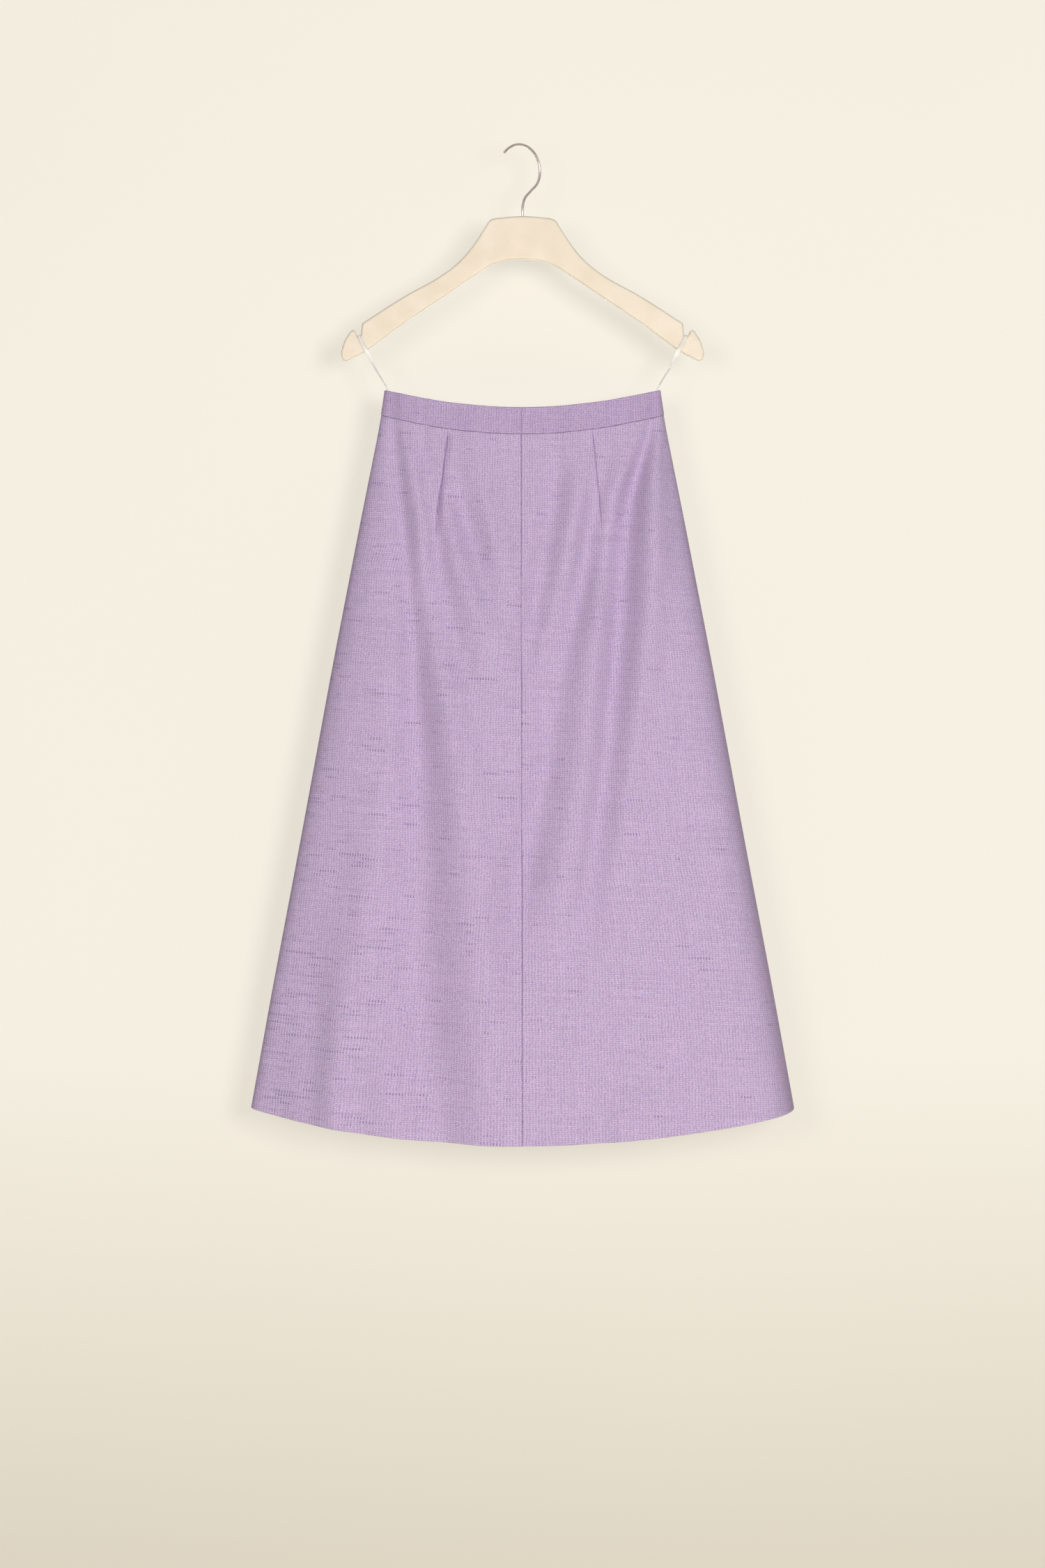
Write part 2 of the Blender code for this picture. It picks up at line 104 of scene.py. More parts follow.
def tweedMaterial(name, shade="ffffff", knotSize=1.0):
    material, add = newMaterial(name)
    grain = add("UVMap", uv_map="grain")
    spacing = (1000 / tweed["warpSpacing"], 1000 / tweed["weftSpacing"], 1.0)
    threads = add("Mapping", {"Vector": grain, "Scale": spacing})

    # the threads wander by a fraction of their spacing
    wander = add("TexNoise", {"Vector": threads, "Scale": 0.13, "Detail": 3.0}, noise_dimensions="2D")
    drift = add("VectorMath", [wander.outputs["Color"], (0.9, 0.9, 0.0), (-0.45, -0.45, 0.0)],
                "MULTIPLY_ADD")
    laid = add("VectorMath", [threads, drift], "ADD")
    count = add("SeparateXYZ", [laid])

    # the columns and rows; in some patches the knots run together along one, elsewhere along the other
    patches = add("TexNoise", {"Vector": threads, "Scale": 0.09, "Detail": 2.0}, noise_dimensions="2D")
    profiles = []
    for axis, low, high in ((0, 0.35, 1.1), (1, 1.1, 0.35)):
        turn = add("Math", [count.outputs[axis], 2 * math.pi], "MULTIPLY")
        wave = add("Math", [turn], "COSINE")
        raised = add("Math", [wave, 0.5, 0.5], "MULTIPLY_ADD")
        sharpness = add("MapRange", [patches, 0.38, 0.62, low, high])
        profiles.append(add("Math", [raised, sharpness], "POWER"))
    mesh = add("Math", [profiles[0], profiles[1]], "MULTIPLY")

    # each knot sits a little off its crossing, and no two are the same size
    loops = add("TexVoronoi", {"Vector": laid, "Scale": 1.0, "Randomness": 0.38}, voronoi_dimensions="2D",
                feature="F1")
    lot = add("SeparateColor", [loops.outputs["Color"]])
    reach = add("MapRange", [lot.outputs[0], 0.0, 1.0, 0.36 * knotSize, 0.70 * knotSize])
    loop = add("MapRange", [loops.outputs["Distance"], 0.10, reach, 1.0, 0.0],
               interpolation_type="SMOOTHSTEP")
    pile = add("Math", [mesh, 0.42], "MULTIPLY")
    pile = add("Math", [loop, 0.46, pile], "MULTIPLY_ADD")

    # fibres, drawn a little coarser than real ones so that they show
    fibres = add("TexNoise", {"Vector": threads, "Scale": 2.1, "Detail": 3.0, "Roughness": 0.65},
                 noise_dimensions="2D")
    tuft = add("MapRange", [fibres, 0.28, 0.72, -0.40, 0.40])
    pile = add("Math", [pile, tuft], "ADD")

    # yarn by yarn: each weft and each warp is a little darker or paler than the next
    shades = []
    for axis, amount in ((0, 0.035), (1, 0.045)):
        index = add("Math", [count.outputs[axis], 0.5], "ADD")
        index = add("Math", [index], "FLOOR")
        along = add("Math", [count.outputs[1 - axis], 0.035], "MULTIPLY")
        at = add("CombineXYZ", [along, index])
        yarn = add("TexNoise", {"Vector": at, "Scale": 1.0, "Detail": 1.0}, noise_dimensions="2D")
        shades.append(add("MapRange", [yarn, 0.25, 0.75, 1 - amount, 1 + amount]))
    yarnShade = add("Math", [shades[0], shades[1]], "MULTIPLY")

    # rows of slits, two wefts tall, between the columns of knots, more of them to the left and fewer above
    # the hips; their dark colour is painted shade in the opening
    pairOfWefts = add("Math", [count.outputs[1], 0.5], "MULTIPLY")
    pairIndex = add("Math", [pairOfWefts], "FLOOR")
    pairTurn = add("Math", [pairOfWefts, 2 * math.pi], "MULTIPLY")
    pairWave = add("Math", [pairTurn], "COSINE")
    tall = add("MapRange", [pairWave, 0.5, -0.6])
    along = add("Math", [count.outputs[0], 0.075], "MULTIPLY")
    rowAt = add("Math", [pairIndex, 5.37], "MULTIPLY")
    at = add("CombineXYZ", [along, rowAt])
    opening = add("TexNoise", {"Vector": at, "Scale": 1.0, "Detail": 2.0}, noise_dimensions="2D")
    side = add("SeparateXYZ", [add("TexCoord").outputs["Object"]])
    share = add("MapRange", [side.outputs[0], -0.30, 0.10, -0.09, 0.04])
    above = add("MapRange", [side.outputs[2], -0.46, -0.40, 0.0, 0.04])
    share = add("Math", [share, above], "ADD")
    lifted = add("Math", [opening, share], "SUBTRACT")
    slitRow = add("MapRange", [lifted, tweed["slitShare"], tweed["slitShare"] + 0.06])
    between = add("MapRange", [profiles[0], 0.55, 0.15])
    slit = add("Math", [slitRow, between], "MULTIPLY")
    slit = add("Math", [slit, tall], "MULTIPLY")

    ramp = add("ValToRGB", [pile], stops=((0, tweed["gap"]), (0.42, tweed["ground"]), (1, tweed["knot"])))
    hues = add("TexNoise", {"Vector": threads, "Scale": 0.3, "Detail": 3.0, "Roughness": 0.7},
               noise_dimensions="2D")
    hueParts = add("SeparateColor", [hues.outputs["Color"]])
    dyedAndShaded = ramp.outputs[0]
    for part, yarnColour in ((0, tweed["pinkYarn"]), (1, tweed["blueYarn"])):
        amount = add("MapRange", [hueParts.outputs[part], 0.46, 0.72, 0.0, 0.25])
        dyedAndShaded = add("Mix", {0: amount, 6: dyedAndShaded, 7: linear(yarnColour)}, data_type="RGBA").outputs[2]
    # painted shade: the slits are painted in their darker colour
    dyedAndShaded = add("Mix", {0: slit, 6: dyedAndShaded, 7: linear(tweed["slit"])}, data_type="RGBA").outputs[2]
    dyedAndShaded = add("VectorMath", {0: dyedAndShaded, "Scale": yarnShade}, "SCALE")
    dyedAndShaded = add("VectorMath", [dyedAndShaded, linear(shade)[:3]], "MULTIPLY")

    # the height of the face, for the bump
    height = add("Math", [pile, slit], "SUBTRACT")
    bump = add("Bump", {"Height": height, "Strength": 0.35, "Distance": tweed["relief"] / 1000})
    shader = add("BsdfPrincipled", {"Base Color": dyedAndShaded, "Roughness": 0.92, "IOR": 1.5, "Normal": bump,
                                    "Specular IOR Level": 0.25, "Sheen Weight": 0.04,
                                    "Sheen Roughness": 0.45, "Sheen Tint": linear("e9dcf2")})
    add("OutputMaterial", [shader])
    return material


# ---- the cloth's form, as the solids have it

cloth = {
    "seamGap": 0.0001,
    "wall": 0.0015,
    "bandWall": 0.0026,
    "bandProud": 0.0005,
    "thinnest": 0.0002,  # wall that is left under a groove
    "seamRoll": 0.0010,  # how deep a sewn edge turns in
    "seamReach": 0.0012,
    "seamPull": 0.45,  # how much the stitches vary that from one to the next
    "stitchLength": 0.0030,
    "seamAllowance": 0.012,
    "allowanceEdge": 0.0035,  # over which it thins out
    "hemDepth": 0.036,
    "seamLean": -0.0016,  # the front seam runs this far to the left at the waist
    "edgeStrip": 0.0025,  # width of the five close columns along a seam
    "creaseReach": 1.4,  # times what the table of creases says
    "creaseDepth": 2.3,
    "crestShare": 0.75,  # a crest stands up a little less than its trough sinks
    "troughShare": 1.35,
    "unevenness": 0.00015,
    "levelBlend": 0.030,  # up and down, over which the table of levels is averaged
    "creaseBlend": 0.024,  # and the table of creases
    "warpFan": 0.25,  # share of the flare that the warps follow
    "weftDroop": {-1: 0.078, 1: 0.048},
}

# Height at the middle, half width, half depth, rise to the side seam, and how boxy the left and the right
# side are: 2 is an ellipse
levels = {
    "bandTop": (-0.3089, 0.1620, 0.0205, 0.0219, 3.0, 3.4),
    "bandSeam": (-0.3404, 0.1656, 0.0210, 0.0239, 3.2, 4.0),
    "hip": (-0.4704, 0.1910, 0.0330, 0.0270, 3.8, 7.0),
    "thigh": (-0.6404, 0.2232, 0.0450, 0.0306, 3.5, 10.0),
    "knee": (-0.8593, 0.2628, 0.0580, 0.0342, 2.6, 12.0),
    "calf": (-1.0277, 0.2943, 0.0660, 0.0362, 2.1, 13.0),
    "hem": (-1.1692, 0.3195, 0.0710, 0.0376, 1.95, 17.0),
}
bandTop, bandSeam, hem = (levels[name][0] for name in ("bandTop", "bandSeam", "hem"))

# A crease is a slope between a trough and a crest on its +X side. Its stations, from the top down:
# height, x of the slope, reach to either side, and how far the trough and the crest stand off, in mm.
creases = {
    front: {
        "leftSweep": (
            (-318, -147, 4.5, 1), (-333, -145.5, 4.9, 1.4), (-397, -136, 7.3, 2.8), (-478, -124.5, 9, 3.6),
            (-567, -114, 11.4, 4.6), (-665, -104, 14.6, 5.4), (-771, -92, 20, 6), (-893, -88, 24, 6.4),
            (-1015, -81, 26, 6.8), (-1170, -65, 22, 4),
        ),
        "underBandLeft": (
            (-326, -112, 3.3, 0.4), (-356, -107, 4.9, 1.2), (-388, -102, 7.3, 1), (-421, -97.5, 8, 0),
        ),
        "belowLeftDart": (
            (-405, -92, 6.5, 0.4), (-453, -91, 8, 2.2), (-496, -85.5, 11.4, 4.2), (-543, -75, 15.4, 4.4),
            (-584, -62, 18, 4), (-624, -54, 18, 1.7), (-657, -49, 18, 0),
        ),
        "leftOfMiddle": (
            (-372, -70, 10, 0.8), (-421, -56, 11, 3), (-478, -39, 12, 3.4), (-527, -34, 12.2, 1.3),
            (-559, -20, 12.2, 0),
        ),
        "rightOfMiddle": (
            (-348, 53, 9, 0.6), (-405, 52, 10, 2.6), (-478, 44, 11, 3.2), (-559, 31, 12.2, 3.8),
            (-608, 20, 12.2, 2.2), (-649, 10, 12.2, 0),
        ),
        "rightDartFold": (
            (-356, 110.5, 7.3, 0.6), (-437, 97, 10.6, 3.2), (-498, 88, 12.2, 4.8), (-559, 75.5, 13.8, 5.4),
            (-616, 63.5, 15.4, 3.9), (-689, 55, 16.3, 3.9), (-771, 43, 16.3, 4.2), (-852, 23.5, 18, 4.4),
            (-925, 14.5, 18, 2.4), (-998, 20, 18, 0),
        ),
        "rightSweep": (
            (-308, 160, 4, 0.8), (-323, 158.5, 4.1, 1.8), (-348, 153, 4.9, 2.7), (-380, 147, 7.8, 5.2),
            (-429, 139, 12, 6.6), (-502, 133, 14, 6.8), (-584, 128.5, 13, 5.2), (-689, 117, 11.4, 3.8),
            (-811, 102.5, 11.4, 2.7), (-917, 87, 11.4, 1.1), (-974, 81, 11.4, 0),
        ),
        "leftEdge": (
            (-700, -190, 20, 0), (-860, -214, 21, 1.6), (-1010, -240, 23, 4), (-1170, -270, 25, 5.6),
        ),
        "leftPanel": (
            (-770, -187, 14.6, 0), (-852, -192, 14.6, 1.4), (-917, -197, 14.6, 0.9), (-974, -203, 14.6, 0),
        ),
        "leftHem": (
            (-933, -221, 9.8, 0), (-1015, -224.5, 11.4, 1.9), (-1104, -229.5, 11.4, 2.6),
            (-1170, -235, 11.4, 2),
        ),
        "leftHemInner": ((-1023, -179, 11.4, 0), (-1096, -175.5, 12.2, 1.4), (-1170, -172, 12.2, 0.9)),
        "rightHemInner": ((-1075, 118, 13, 0), (-1136, 109, 13, 1.6), (-1170, 106, 13, 2)),
        "rightHem": ((-1105, 138, 9.8, 0), (-1145, 142, 9.8, 0.9), (-1170, 144, 9.8, 0.8)),
        "rightPanel": (
            (-714, 191, 13, 0), (-811, 197, 13, 0.9), (-960, 207, 16, 0.6), (-1060, 219, 16, 1),
            (-1170, 228, 16, 0.4),
        ),
    },
    back: {
        "leftSweep": (
            (-330, -138, 5, 1.2), (-400, -130, 8, 2), (-520, -115, 12, 3.2), (-700, -100, 16, 4.4),
            (-900, -90, 21, 5), (-1060, -80, 21, 4.2), (-1170, -72, 20, 2.8),
        ),
        "belowLeftDart": (
            (-400, -80, 8, 0.4), (-480, -72, 11, 2.4), (-580, -58, 15, 3), (-690, -42, 16, 1.6),
            (-760, -34, 16, 0),
        ),
        "belowRightDart": (
            (-390, 82, 8, 0.4), (-470, 74, 11, 2.2), (-600, 58, 15, 3.2), (-740, 40, 17, 2.4),
            (-860, 26, 17, 0),
        ),
        "rightSweep": (
            (-325, 147, 5, 1.4), (-390, 139, 8.5, 2.8), (-520, 127, 13.5, 3.8), (-720, 112, 16, 4.2),
            (-930, 100, 19, 4), (-1170, 86, 20, 3),
        ),
        "leftHem": ((-860, -202, 12, 0), (-1000, -210, 15, 2.4), (-1170, -224, 16, 2.8)),
        "rightHem": ((-930, 222, 12, 0), (-1050, 228, 14, 2.4), (-1170, 234, 14, 2.6)),
    },
}

# Sewn line of each dart from the band down: heights, and x at them, in mm
darts = {
    (front, -1): ((-325, -333, -388, -410, -431, -472), (-86.3, -86.9, -92.7, -97.6, -100, -100.9)),
    (front, 1): ((-325, -332, -371, -406, -435, -472), (81, 81.6, 86.1, 89.1, 91, 93.9)),
    (back, -1): ((-325, -400, -470), (-76, -80, -81.5)),
    (back, 1): ((-325, -400, -470), (76, 80, 81.5)),
}
fineTurns = np.linspace(0.0, 1.0, 401)  # where a cross-section is measured


def averaged(z, reach, heights, column):
    # read from a table at five heights and averaged, so that its rows leave no kink
    return sum(np.interp(z + share * reach, heights, column) for share in (-1, -0.5, 0, 0.5, 1)) / 5


def levelAt(z):
    chart = np.array(list(levels.values()))[::-1]
    before = 2 * chart[0] - chart[1]
    after = 2 * chart[-1] - chart[-2]
    heights, *columns = np.vstack((before, chart, after)).T
    return [averaged(z, cloth["levelBlend"], heights, column) for column in columns]


def creaseRelief(facing, x, z):
    relief = np.zeros(np.broadcast(x, z).shape)
    for stations in creases[facing].values():
        heights, *columns = np.array(stations)[::-1].T / 1000
        centre, reach, off = (averaged(z, cloth["creaseBlend"], heights, column) for column in columns)
        across = (x - centre) / (reach * cloth["creaseReach"])
        crest = cloth["crestShare"] * np.exp(-(across - 1) ** 2)
        relief += off * (crest - cloth["troughShare"] * np.exp(-(across + 1) ** 2))
    return relief * cloth["creaseDepth"]


def dartLine(facing, half, z):
    heights, places = np.array(darts[facing, half]) / 1000
    return np.interp(-z, -heights, places)


def softWaves(x, z, seed, count=14):
    # cloth never hangs quite even: a few crossing waves, 25 to 90 mm long
    lots = random.Random(seed)
    total = np.zeros(np.broadcast(x, z).shape)
    for _ in range(count):
        length, heading, phase = lots.uniform(0.025, 0.09), lots.uniform(0, math.pi), lots.uniform(0, 6.28)
        total += np.sin(2 * math.pi * (x * math.cos(heading) + 0.6 * z * math.sin(heading)) / length + phase)
    return total / count ** 0.5


def clothSurface(facing, half, turn, z):
    # turn runs from 0 at the middle seam to 1 at the side seam
    width, depth, rise, *boxiness = levelAt(z)
    angle = turn * math.pi / 2
    x = half * (cloth["seamGap"] / 2 + width * np.sin(angle))
    risen = z + rise * np.sin(angle) ** 2
    depth = depth + creaseRelief(facing, x, risen)
    depth = depth + cloth["unevenness"] * softWaves(x, z, 7 + facing)
    rounded = np.sqrt(np.maximum(1 - np.sin(angle) ** boxiness[(half + 1) // 2], 0.0))
    y = facing * (cloth["seamGap"] / 2 + depth * rounded)
    if facing == front:
        x = x + cloth["seamLean"] * (z - hem) / (bandTop - hem) * (1 - np.sin(angle))
    return np.stack((x, y, risen), axis=-1)


def outwardOf(points, facing, half):
    outward = np.cross(np.gradient(points, axis=1), np.gradient(points, axis=0)) * (half * facing)
    return outward / np.linalg.norm(outward, axis=2, keepdims=True)


def arcAlong(facing, half, z):
    # the cloth's cross-section at a height, and how far each of its points lies from the middle seam
    line = clothSurface(facing, half, fineTurns, np.full(len(fineTurns), z))
    steps = np.linalg.norm(np.diff(line, axis=0), axis=1)
    return line, np.concatenate(([0.0], np.cumsum(steps)))


def spread(knots):
    # one place for each index, evenly spaced between the (index, place) knots
    indices, places = np.array(knots, float).T
    return np.interp(np.arange(indices[-1] + 1), indices, places)


def rowsDown(sizes, length):
    # how far below its top each row of a piece lies
    return spread([*sizes["topRows"], *((row, length - up) for row, up in sizes["lowRows"])])


def rolledIn(distance, depth, reach):
    # a quarter of an ellipse: depth at the edge, none past reach
    share = 1 - np.clip(distance / reach, 0.0, 1.0)
    return depth * (1 - np.sqrt(1 - share**2))


def pulled(run, seed, count=400):
    # a sewn edge is drawn in unevenly, stitch by stitch: a factor about 1 along its run
    lots = random.Random(seed)
    marks = [1 + cloth["seamPull"] * lots.uniform(-1, 1) for _ in range(count)]
    return np.interp(np.abs(run) / cloth["stitchLength"], range(count), marks)


def eased(value, low, high):
    t = np.clip((value - low) / (high - low), 0.0, 1.0)
    return t * t * (3 - 2 * t)


def layCloth(facing, half, heights, columns, dartColumn=None):
    # a grid of points on the cloth, rows by columns, their distances from the middle and the side seam,
    # and the outward direction at each
    rows, distances = [], []
    for z in heights:
        line, arc = arcAlong(facing, half, z)
        knots = [(0, 0.0), (5, cloth["edgeStrip"])]
        if dartColumn:
            onLine = half * (line[:, 0] - dartLine(facing, half, line[:, 2]))
            dartArc = float(np.interp(0.0, onLine, arc))
            knots += [(dartColumn + column, dartArc + off) for column, off in panel["dartStrip"]]
        knots += [(columns - 5, arc[-1] - cloth["edgeStrip"]), (columns, arc[-1])]
        places = spread(knots)
        rows.append(clothSurface(facing, half, np.interp(places, arc, fineTurns), np.full(columns + 1, z)))
        distances.append(places)
    points, distances = np.array(rows), np.array(distances)
    return points, distances, distances[:, -1:] - distances, outwardOf(points, facing, half)


def grainOf(points, distances, facing, half):
    # where each point lies in the weave, in metres: the warps fan out a little towards the hem, and the
    # wefts run down to the right. Each panel is cut from a place of its own
    z = points[:, :, 2]
    fan = 1 + cloth["warpFan"] * (levelAt(z)[0] / levels["bandSeam"][1] - 1)
    across = half * distances / fan
    along = z - facing * cloth["weftDroop"][half] * across
    shift = 0.37 * (half + 2) + 1.3 * (facing + 2)
    return np.stack((shift - facing * across, along), axis=-1)


def meshOf(work, name, crease=None):
    # the finished mesh of a bmesh; edges that turn more than crease, in degrees, stay sharp
    mesh = bpy.data.meshes.new(name)
    work.to_mesh(mesh)
    work.free()
    mesh.shade_smooth()
    if crease:
        mesh.set_sharp_from_angle(angle=math.radians(crease))
    return mesh


def sheetWall(name, rightSide, wrongSide, grain):
    # a grid with a right and a wrong side, moulded to the two arrays of points
    rows, columns = rightSide.shape[0] - 1, rightSide.shape[1] - 1
    wall = bmesh.new()
    bmesh.ops.create_grid(wall, x_segments=columns, y_segments=rows, size=0.5)
    second = bmesh.ops.extrude_face_region(wall, geom=wall.faces[:])["geom"]
    lifted = [part for part in second if isinstance(part, bmesh.types.BMVert)]
    bmesh.ops.translate(wall, verts=lifted, vec=(0.0, 0.0, 1.0))
    wall.verts.ensure_lookup_table()
    charts = []
    for corner in wall.verts:
        row, column = round((0.5 - corner.co.y) * rows), round((corner.co.x + 0.5) * columns)
        wrong = corner.co.z > 0.5
        corner.co = (wrongSide if wrong else rightSide)[row, column]
        charts.append(grain[row, column])
    bmesh.ops.recalc_face_normals(wall, faces=wall.faces[:])
    if wall.calc_volume(signed=True) < 0:
        bmesh.ops.reverse_faces(wall, faces=wall.faces[:])
    mesh = meshOf(wall, name)
    uv = mesh.uv_layers.new(name="grain")
    corners = np.empty(len(mesh.loops), np.int32)
    mesh.loops.foreach_get("vertex_index", corners)
    uv.data.foreach_set("uv", np.array(charts, np.float32)[corners].ravel())
    return mesh


def offsetWall(name, points, outward, offsets, grain):
    # a wall whose right and wrong side stand off the same points
    return sheetWall(name, *(points + outward * offset[:, :, None] for offset in offsets), grain)


def place(name, mesh, material, body="garment", nodes=()):
    piece = bpy.data.objects.new(name, mesh)
    bpy.context.scene.collection.objects.link(piece)
    mesh.materials.clear()
    mesh.materials.append(material)
    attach(piece, body)
    if nodes:
        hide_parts(*nodes)
    return piece


# ---- the four panels

panel = {
    "columns": 150,
    "dartColumn": 70,
    "dartStrip": ((0, -0.0028), (3, -0.0009), (9, 0.0009), (12, 0.0034)),  # close columns, and how far off
    "topRows": ((0, 0.0), (6, 0.0028)),  # and close rows: how far below the band
    "lowRows": ((200, 0.040), (206, 0.035), (218, 0.0030), (226, 0.0)),  # how far above the hem
    "topTurn": (0.0010, 0.0014),  # depth and reach of the edge sewn to the band
    "hemTurn": (0.0016, 0.0020),
    "hemLayers": 1.1,  # walls that the turned-up hem adds
    "hemFoldEdge": 0.002,  # over which they begin
    "hemEdge": (0.0030, 0.0018),  # reach and wall of its folded edge
    "zipAllowance": 0.45,  # share of the allowance beside the zip
    "topAllowance": 0.0022,  # the allowance inside the band seam
    "topAllowanceEnds": (0.0030, 0.0075),
    "dartDepth": {-1: 0.0044, 1: 0.0012},
    "dartSteep": 0.0007,  # reach of the groove's steep flank, on its left
    "dartGentle": {-1: 0.0072, 1: 0.0040},  # and of its gentle flank, on its right
    "dartSlit": {-1: 0.0014, 1: 0.0016},  # how deep the sewn line itself sinks
    "dartSlitReach": 0.00045,
    "dartEnds": (-0.004, 0.045),  # from nothing to its full depth, above its point
    "dartRidge": {-1: 0.0, 1: 0.0007},  # height of the pressed ridge that its lower end leaves
    "dartRidgeReach": 0.0007,
    "dartRidgeEnds": (-0.476, -0.462, -0.425, -0.412),
    "dartAtBand": 0.08,  # share of its depth that is left where the band holds it
    "dartOpens": (0.0010, 0.0110),  # below the band
    "flatWidth": {-1: 0.348, 1: 0.372},  # the boxier right side takes more cloth
    "flatLength": 0.885,
    "flatArea": {-1: 0.225, 1: 0.238},
}


def makePanel(facing, half, material):
    top = bandSeam - cloth["seamGap"] / 2
    length = top - hem
    down = rowsDown(panel, length)
    points, distances, toSide, outward = layCloth(facing, half, top - down, panel["columns"],
                                                  panel["dartColumn"])
    down = down[:, None]

    sewn = np.maximum(rolledIn(distances, cloth["seamRoll"], cloth["seamReach"]) * pulled(down, 3 + facing),
                      rolledIn(toSide, cloth["seamRoll"], cloth["seamReach"]))
    tucked = rolledIn(down, *panel["topTurn"]) * pulled(distances, 11 + facing + half)
    turned = rolledIn(length - down, *panel["hemTurn"])
    rightOffset = -np.maximum(np.maximum(sewn, tucked), turned)

    # dart: a stitched groove that runs out at its point, one side lapped a little over the other. It is
    # sewn flat into the band, and opens a centimetre below
    z = points[:, :, 2]
    offLine = points[:, :, 0] - dartLine(facing, half, z)
    openness = panel["dartAtBand"] + (1 - panel["dartAtBand"]) * eased(down, *panel["dartOpens"])
    fade = eased(z, *(darts[facing, half][0][-1] / 1000 + end for end in panel["dartEnds"])) * openness
    steep = np.exp(-(np.minimum(offLine, 0.0) / panel["dartSteep"]) ** 2)
    gentle = np.clip(1 - offLine / panel["dartGentle"][half], 0.0, 1.0) ** 1.3
    groove = np.where(offLine < 0, steep, gentle)
    slit = np.exp(-(offLine / panel["dartSlitReach"]) ** 2)
    rightOffset = rightOffset - fade * (panel["dartDepth"][half] * groove + panel["dartSlit"][half] * slit)
    if facing == front:
        foot, footTop, headLow, head = panel["dartRidgeEnds"]
        pressed = eased(z, foot, footTop) * (1 - eased(z, headLow, head))
        ridge = np.exp(-((offLine - panel["dartRidgeReach"]) / panel["dartRidgeReach"]) ** 2)
        rightOffset = rightOffset + panel["dartRidge"][half] * pressed * ridge

    # wrong side: pressed-open allowances along the seams, and the turned-up hem
    ends = cloth["seamAllowance"], cloth["seamAllowance"] + cloth["allowanceEdge"]
    zipSide = panel["zipAllowance"] if facing == back else 1.0
    allowance = np.maximum(zipSide * (1 - eased(distances, *ends)), 1 - eased(toSide, *ends))
    hemTop = length - cloth["hemDepth"]
    hemFold = eased(down, hemTop - panel["hemFoldEdge"], hemTop)
    edgeReach, edgeWall = panel["hemEdge"]
    hemEdge = eased(down, length - edgeReach, length)
    wrongOffset = -cloth["wall"] * (1 + allowance * (1 - hemFold) + panel["hemLayers"] * hemFold)
    wrongOffset = wrongOffset * (1 - hemEdge) - edgeWall * hemEdge
    topAllowance = panel["topAllowance"] * (1 - eased(down, *panel["topAllowanceEnds"]))
    wrongOffset = np.minimum(wrongOffset, -topAllowance)
    wrongOffset = np.minimum(wrongOffset, rightOffset - cloth["thinnest"])

    name = faceNames[facing] + "Panel" + sideNames[half]
    grain = grainOf(points, distances, facing, half)
    mesh = offsetWall(name, points, outward, (rightOffset, wrongOffset), grain)
    node = f"skirt_{faceNames[facing]}_{sideNames[half].lower()}"
    piece = place(name, mesh, material, nodes=[node])


# ---- the waistband

band = {
    "columns": 110,
    "topRows": ((0, 0.0), (8, 0.0014)),  # row, and how far below the fold
    "lowRows": ((26, 0.0024), (34, 0.0)),  # and how far above the seam
    "edgeTurn": (0.0008, 0.0012),  # depth and reach of its ends
    "seamTurn": (0.0011, 0.0013),  # and of its seam with the skirt
    "flatWidth": 0.174,
    "flatLength": 0.034,
}


def makeBand(facing, half, material):
    length = bandTop - bandSeam - cloth["seamGap"] / 2
    down = rowsDown(band, length)
    points, distances, toSide, outward = layCloth(facing, half, bandTop - down, band["columns"])
    down = down[:, None]
    folded = rolledIn(down, cloth["bandWall"] / 2, cloth["bandWall"] / 2)
    sewn = np.maximum(rolledIn(distances, *band["edgeTurn"]), rolledIn(toSide, *band["edgeTurn"]))
    joined = rolledIn(length - down, *band["seamTurn"]) * pulled(distances, 21 + facing + half)
    rightOffset = cloth["bandProud"] - np.maximum(np.maximum(folded, sewn), joined)
    wrongOffset = cloth["bandProud"] - cloth["bandWall"] + folded
    wrongOffset = np.minimum(wrongOffset, rightOffset - cloth["thinnest"])
    name = faceNames[facing] + "Band" + sideNames[half]
    grain = grainOf(points, distances, facing, half) + np.array((0.611, 0.477))  # a cut of its own
    mesh = offsetWall(name, points, outward, (rightOffset, wrongOffset), grain)
    node = f"band_{faceNames[facing]}_{sideNames[half].lower()}"
    piece = place(name, mesh, material, nodes=[node])


skirtTweed = tweedMaterial("pressed boucle tweed")
bandTweed = tweedMaterial("boucle tweed, waistband", shade="f3f0f5", knotSize=1.1)
for facing in faceNames:
    for half in sideNames:
        makePanel(facing, half, skirtTweed)
        makeBand(facing, half, bandTweed)
print("cloth laid")


# ---- thread

sewing = {
    "threadRadius": 0.00016,
    "lift": 0.00022,
    "hemSpacing": 0.0075,
    "hemSlant": 0.0024,
    "hemStart": 0.008,
    "hemHalfHeight": 0.0026,
    "tapeStitch": 0.0026,
    "tapeStitchGap": 0.0006,
    "tapeLineIn": 0.0030,  # from the tape's outer edge
}


def threadMaterial(name, hexColour):
    # spun polyester sewing thread, three-ply: fine slanting ridges and a soft shine; the grooves between the
    # plies are painted darker as shade
    material, add = newMaterial(name)
    where = add("TexCoord").outputs["Object"]
    tilt = add("Mapping", {"Vector": where, "Rotation": (0.6, 0.4, 0.7)})
    # plies 0.25 mm apart
    plies = add("TexWave", {"Vector": tilt, "Scale": 1000 / 0.25 / 20, "Distortion": 1.0})
    # painted shade: the grooves between the plies go down to 0.72 of the thread's colour
    colour = add("ValToRGB", [plies.outputs["Fac"]])
    base = linear(hexColour)
    colour.color_ramp.elements[0].color = (*[c * 0.72 for c in base[:3]], 1.0)
    colour.color_ramp.elements[1].color = base
    bump = add("Bump", {"Height": plies.outputs["Fac"], "Strength": 0.4, "Distance": 0.0001})
    shader = add("BsdfPrincipled", {"Base Color": colour, "Roughness": 0.55, "Sheen Weight": 0.2,
                                    "Normal": bump})
    add("OutputMaterial", [shader])
    return material


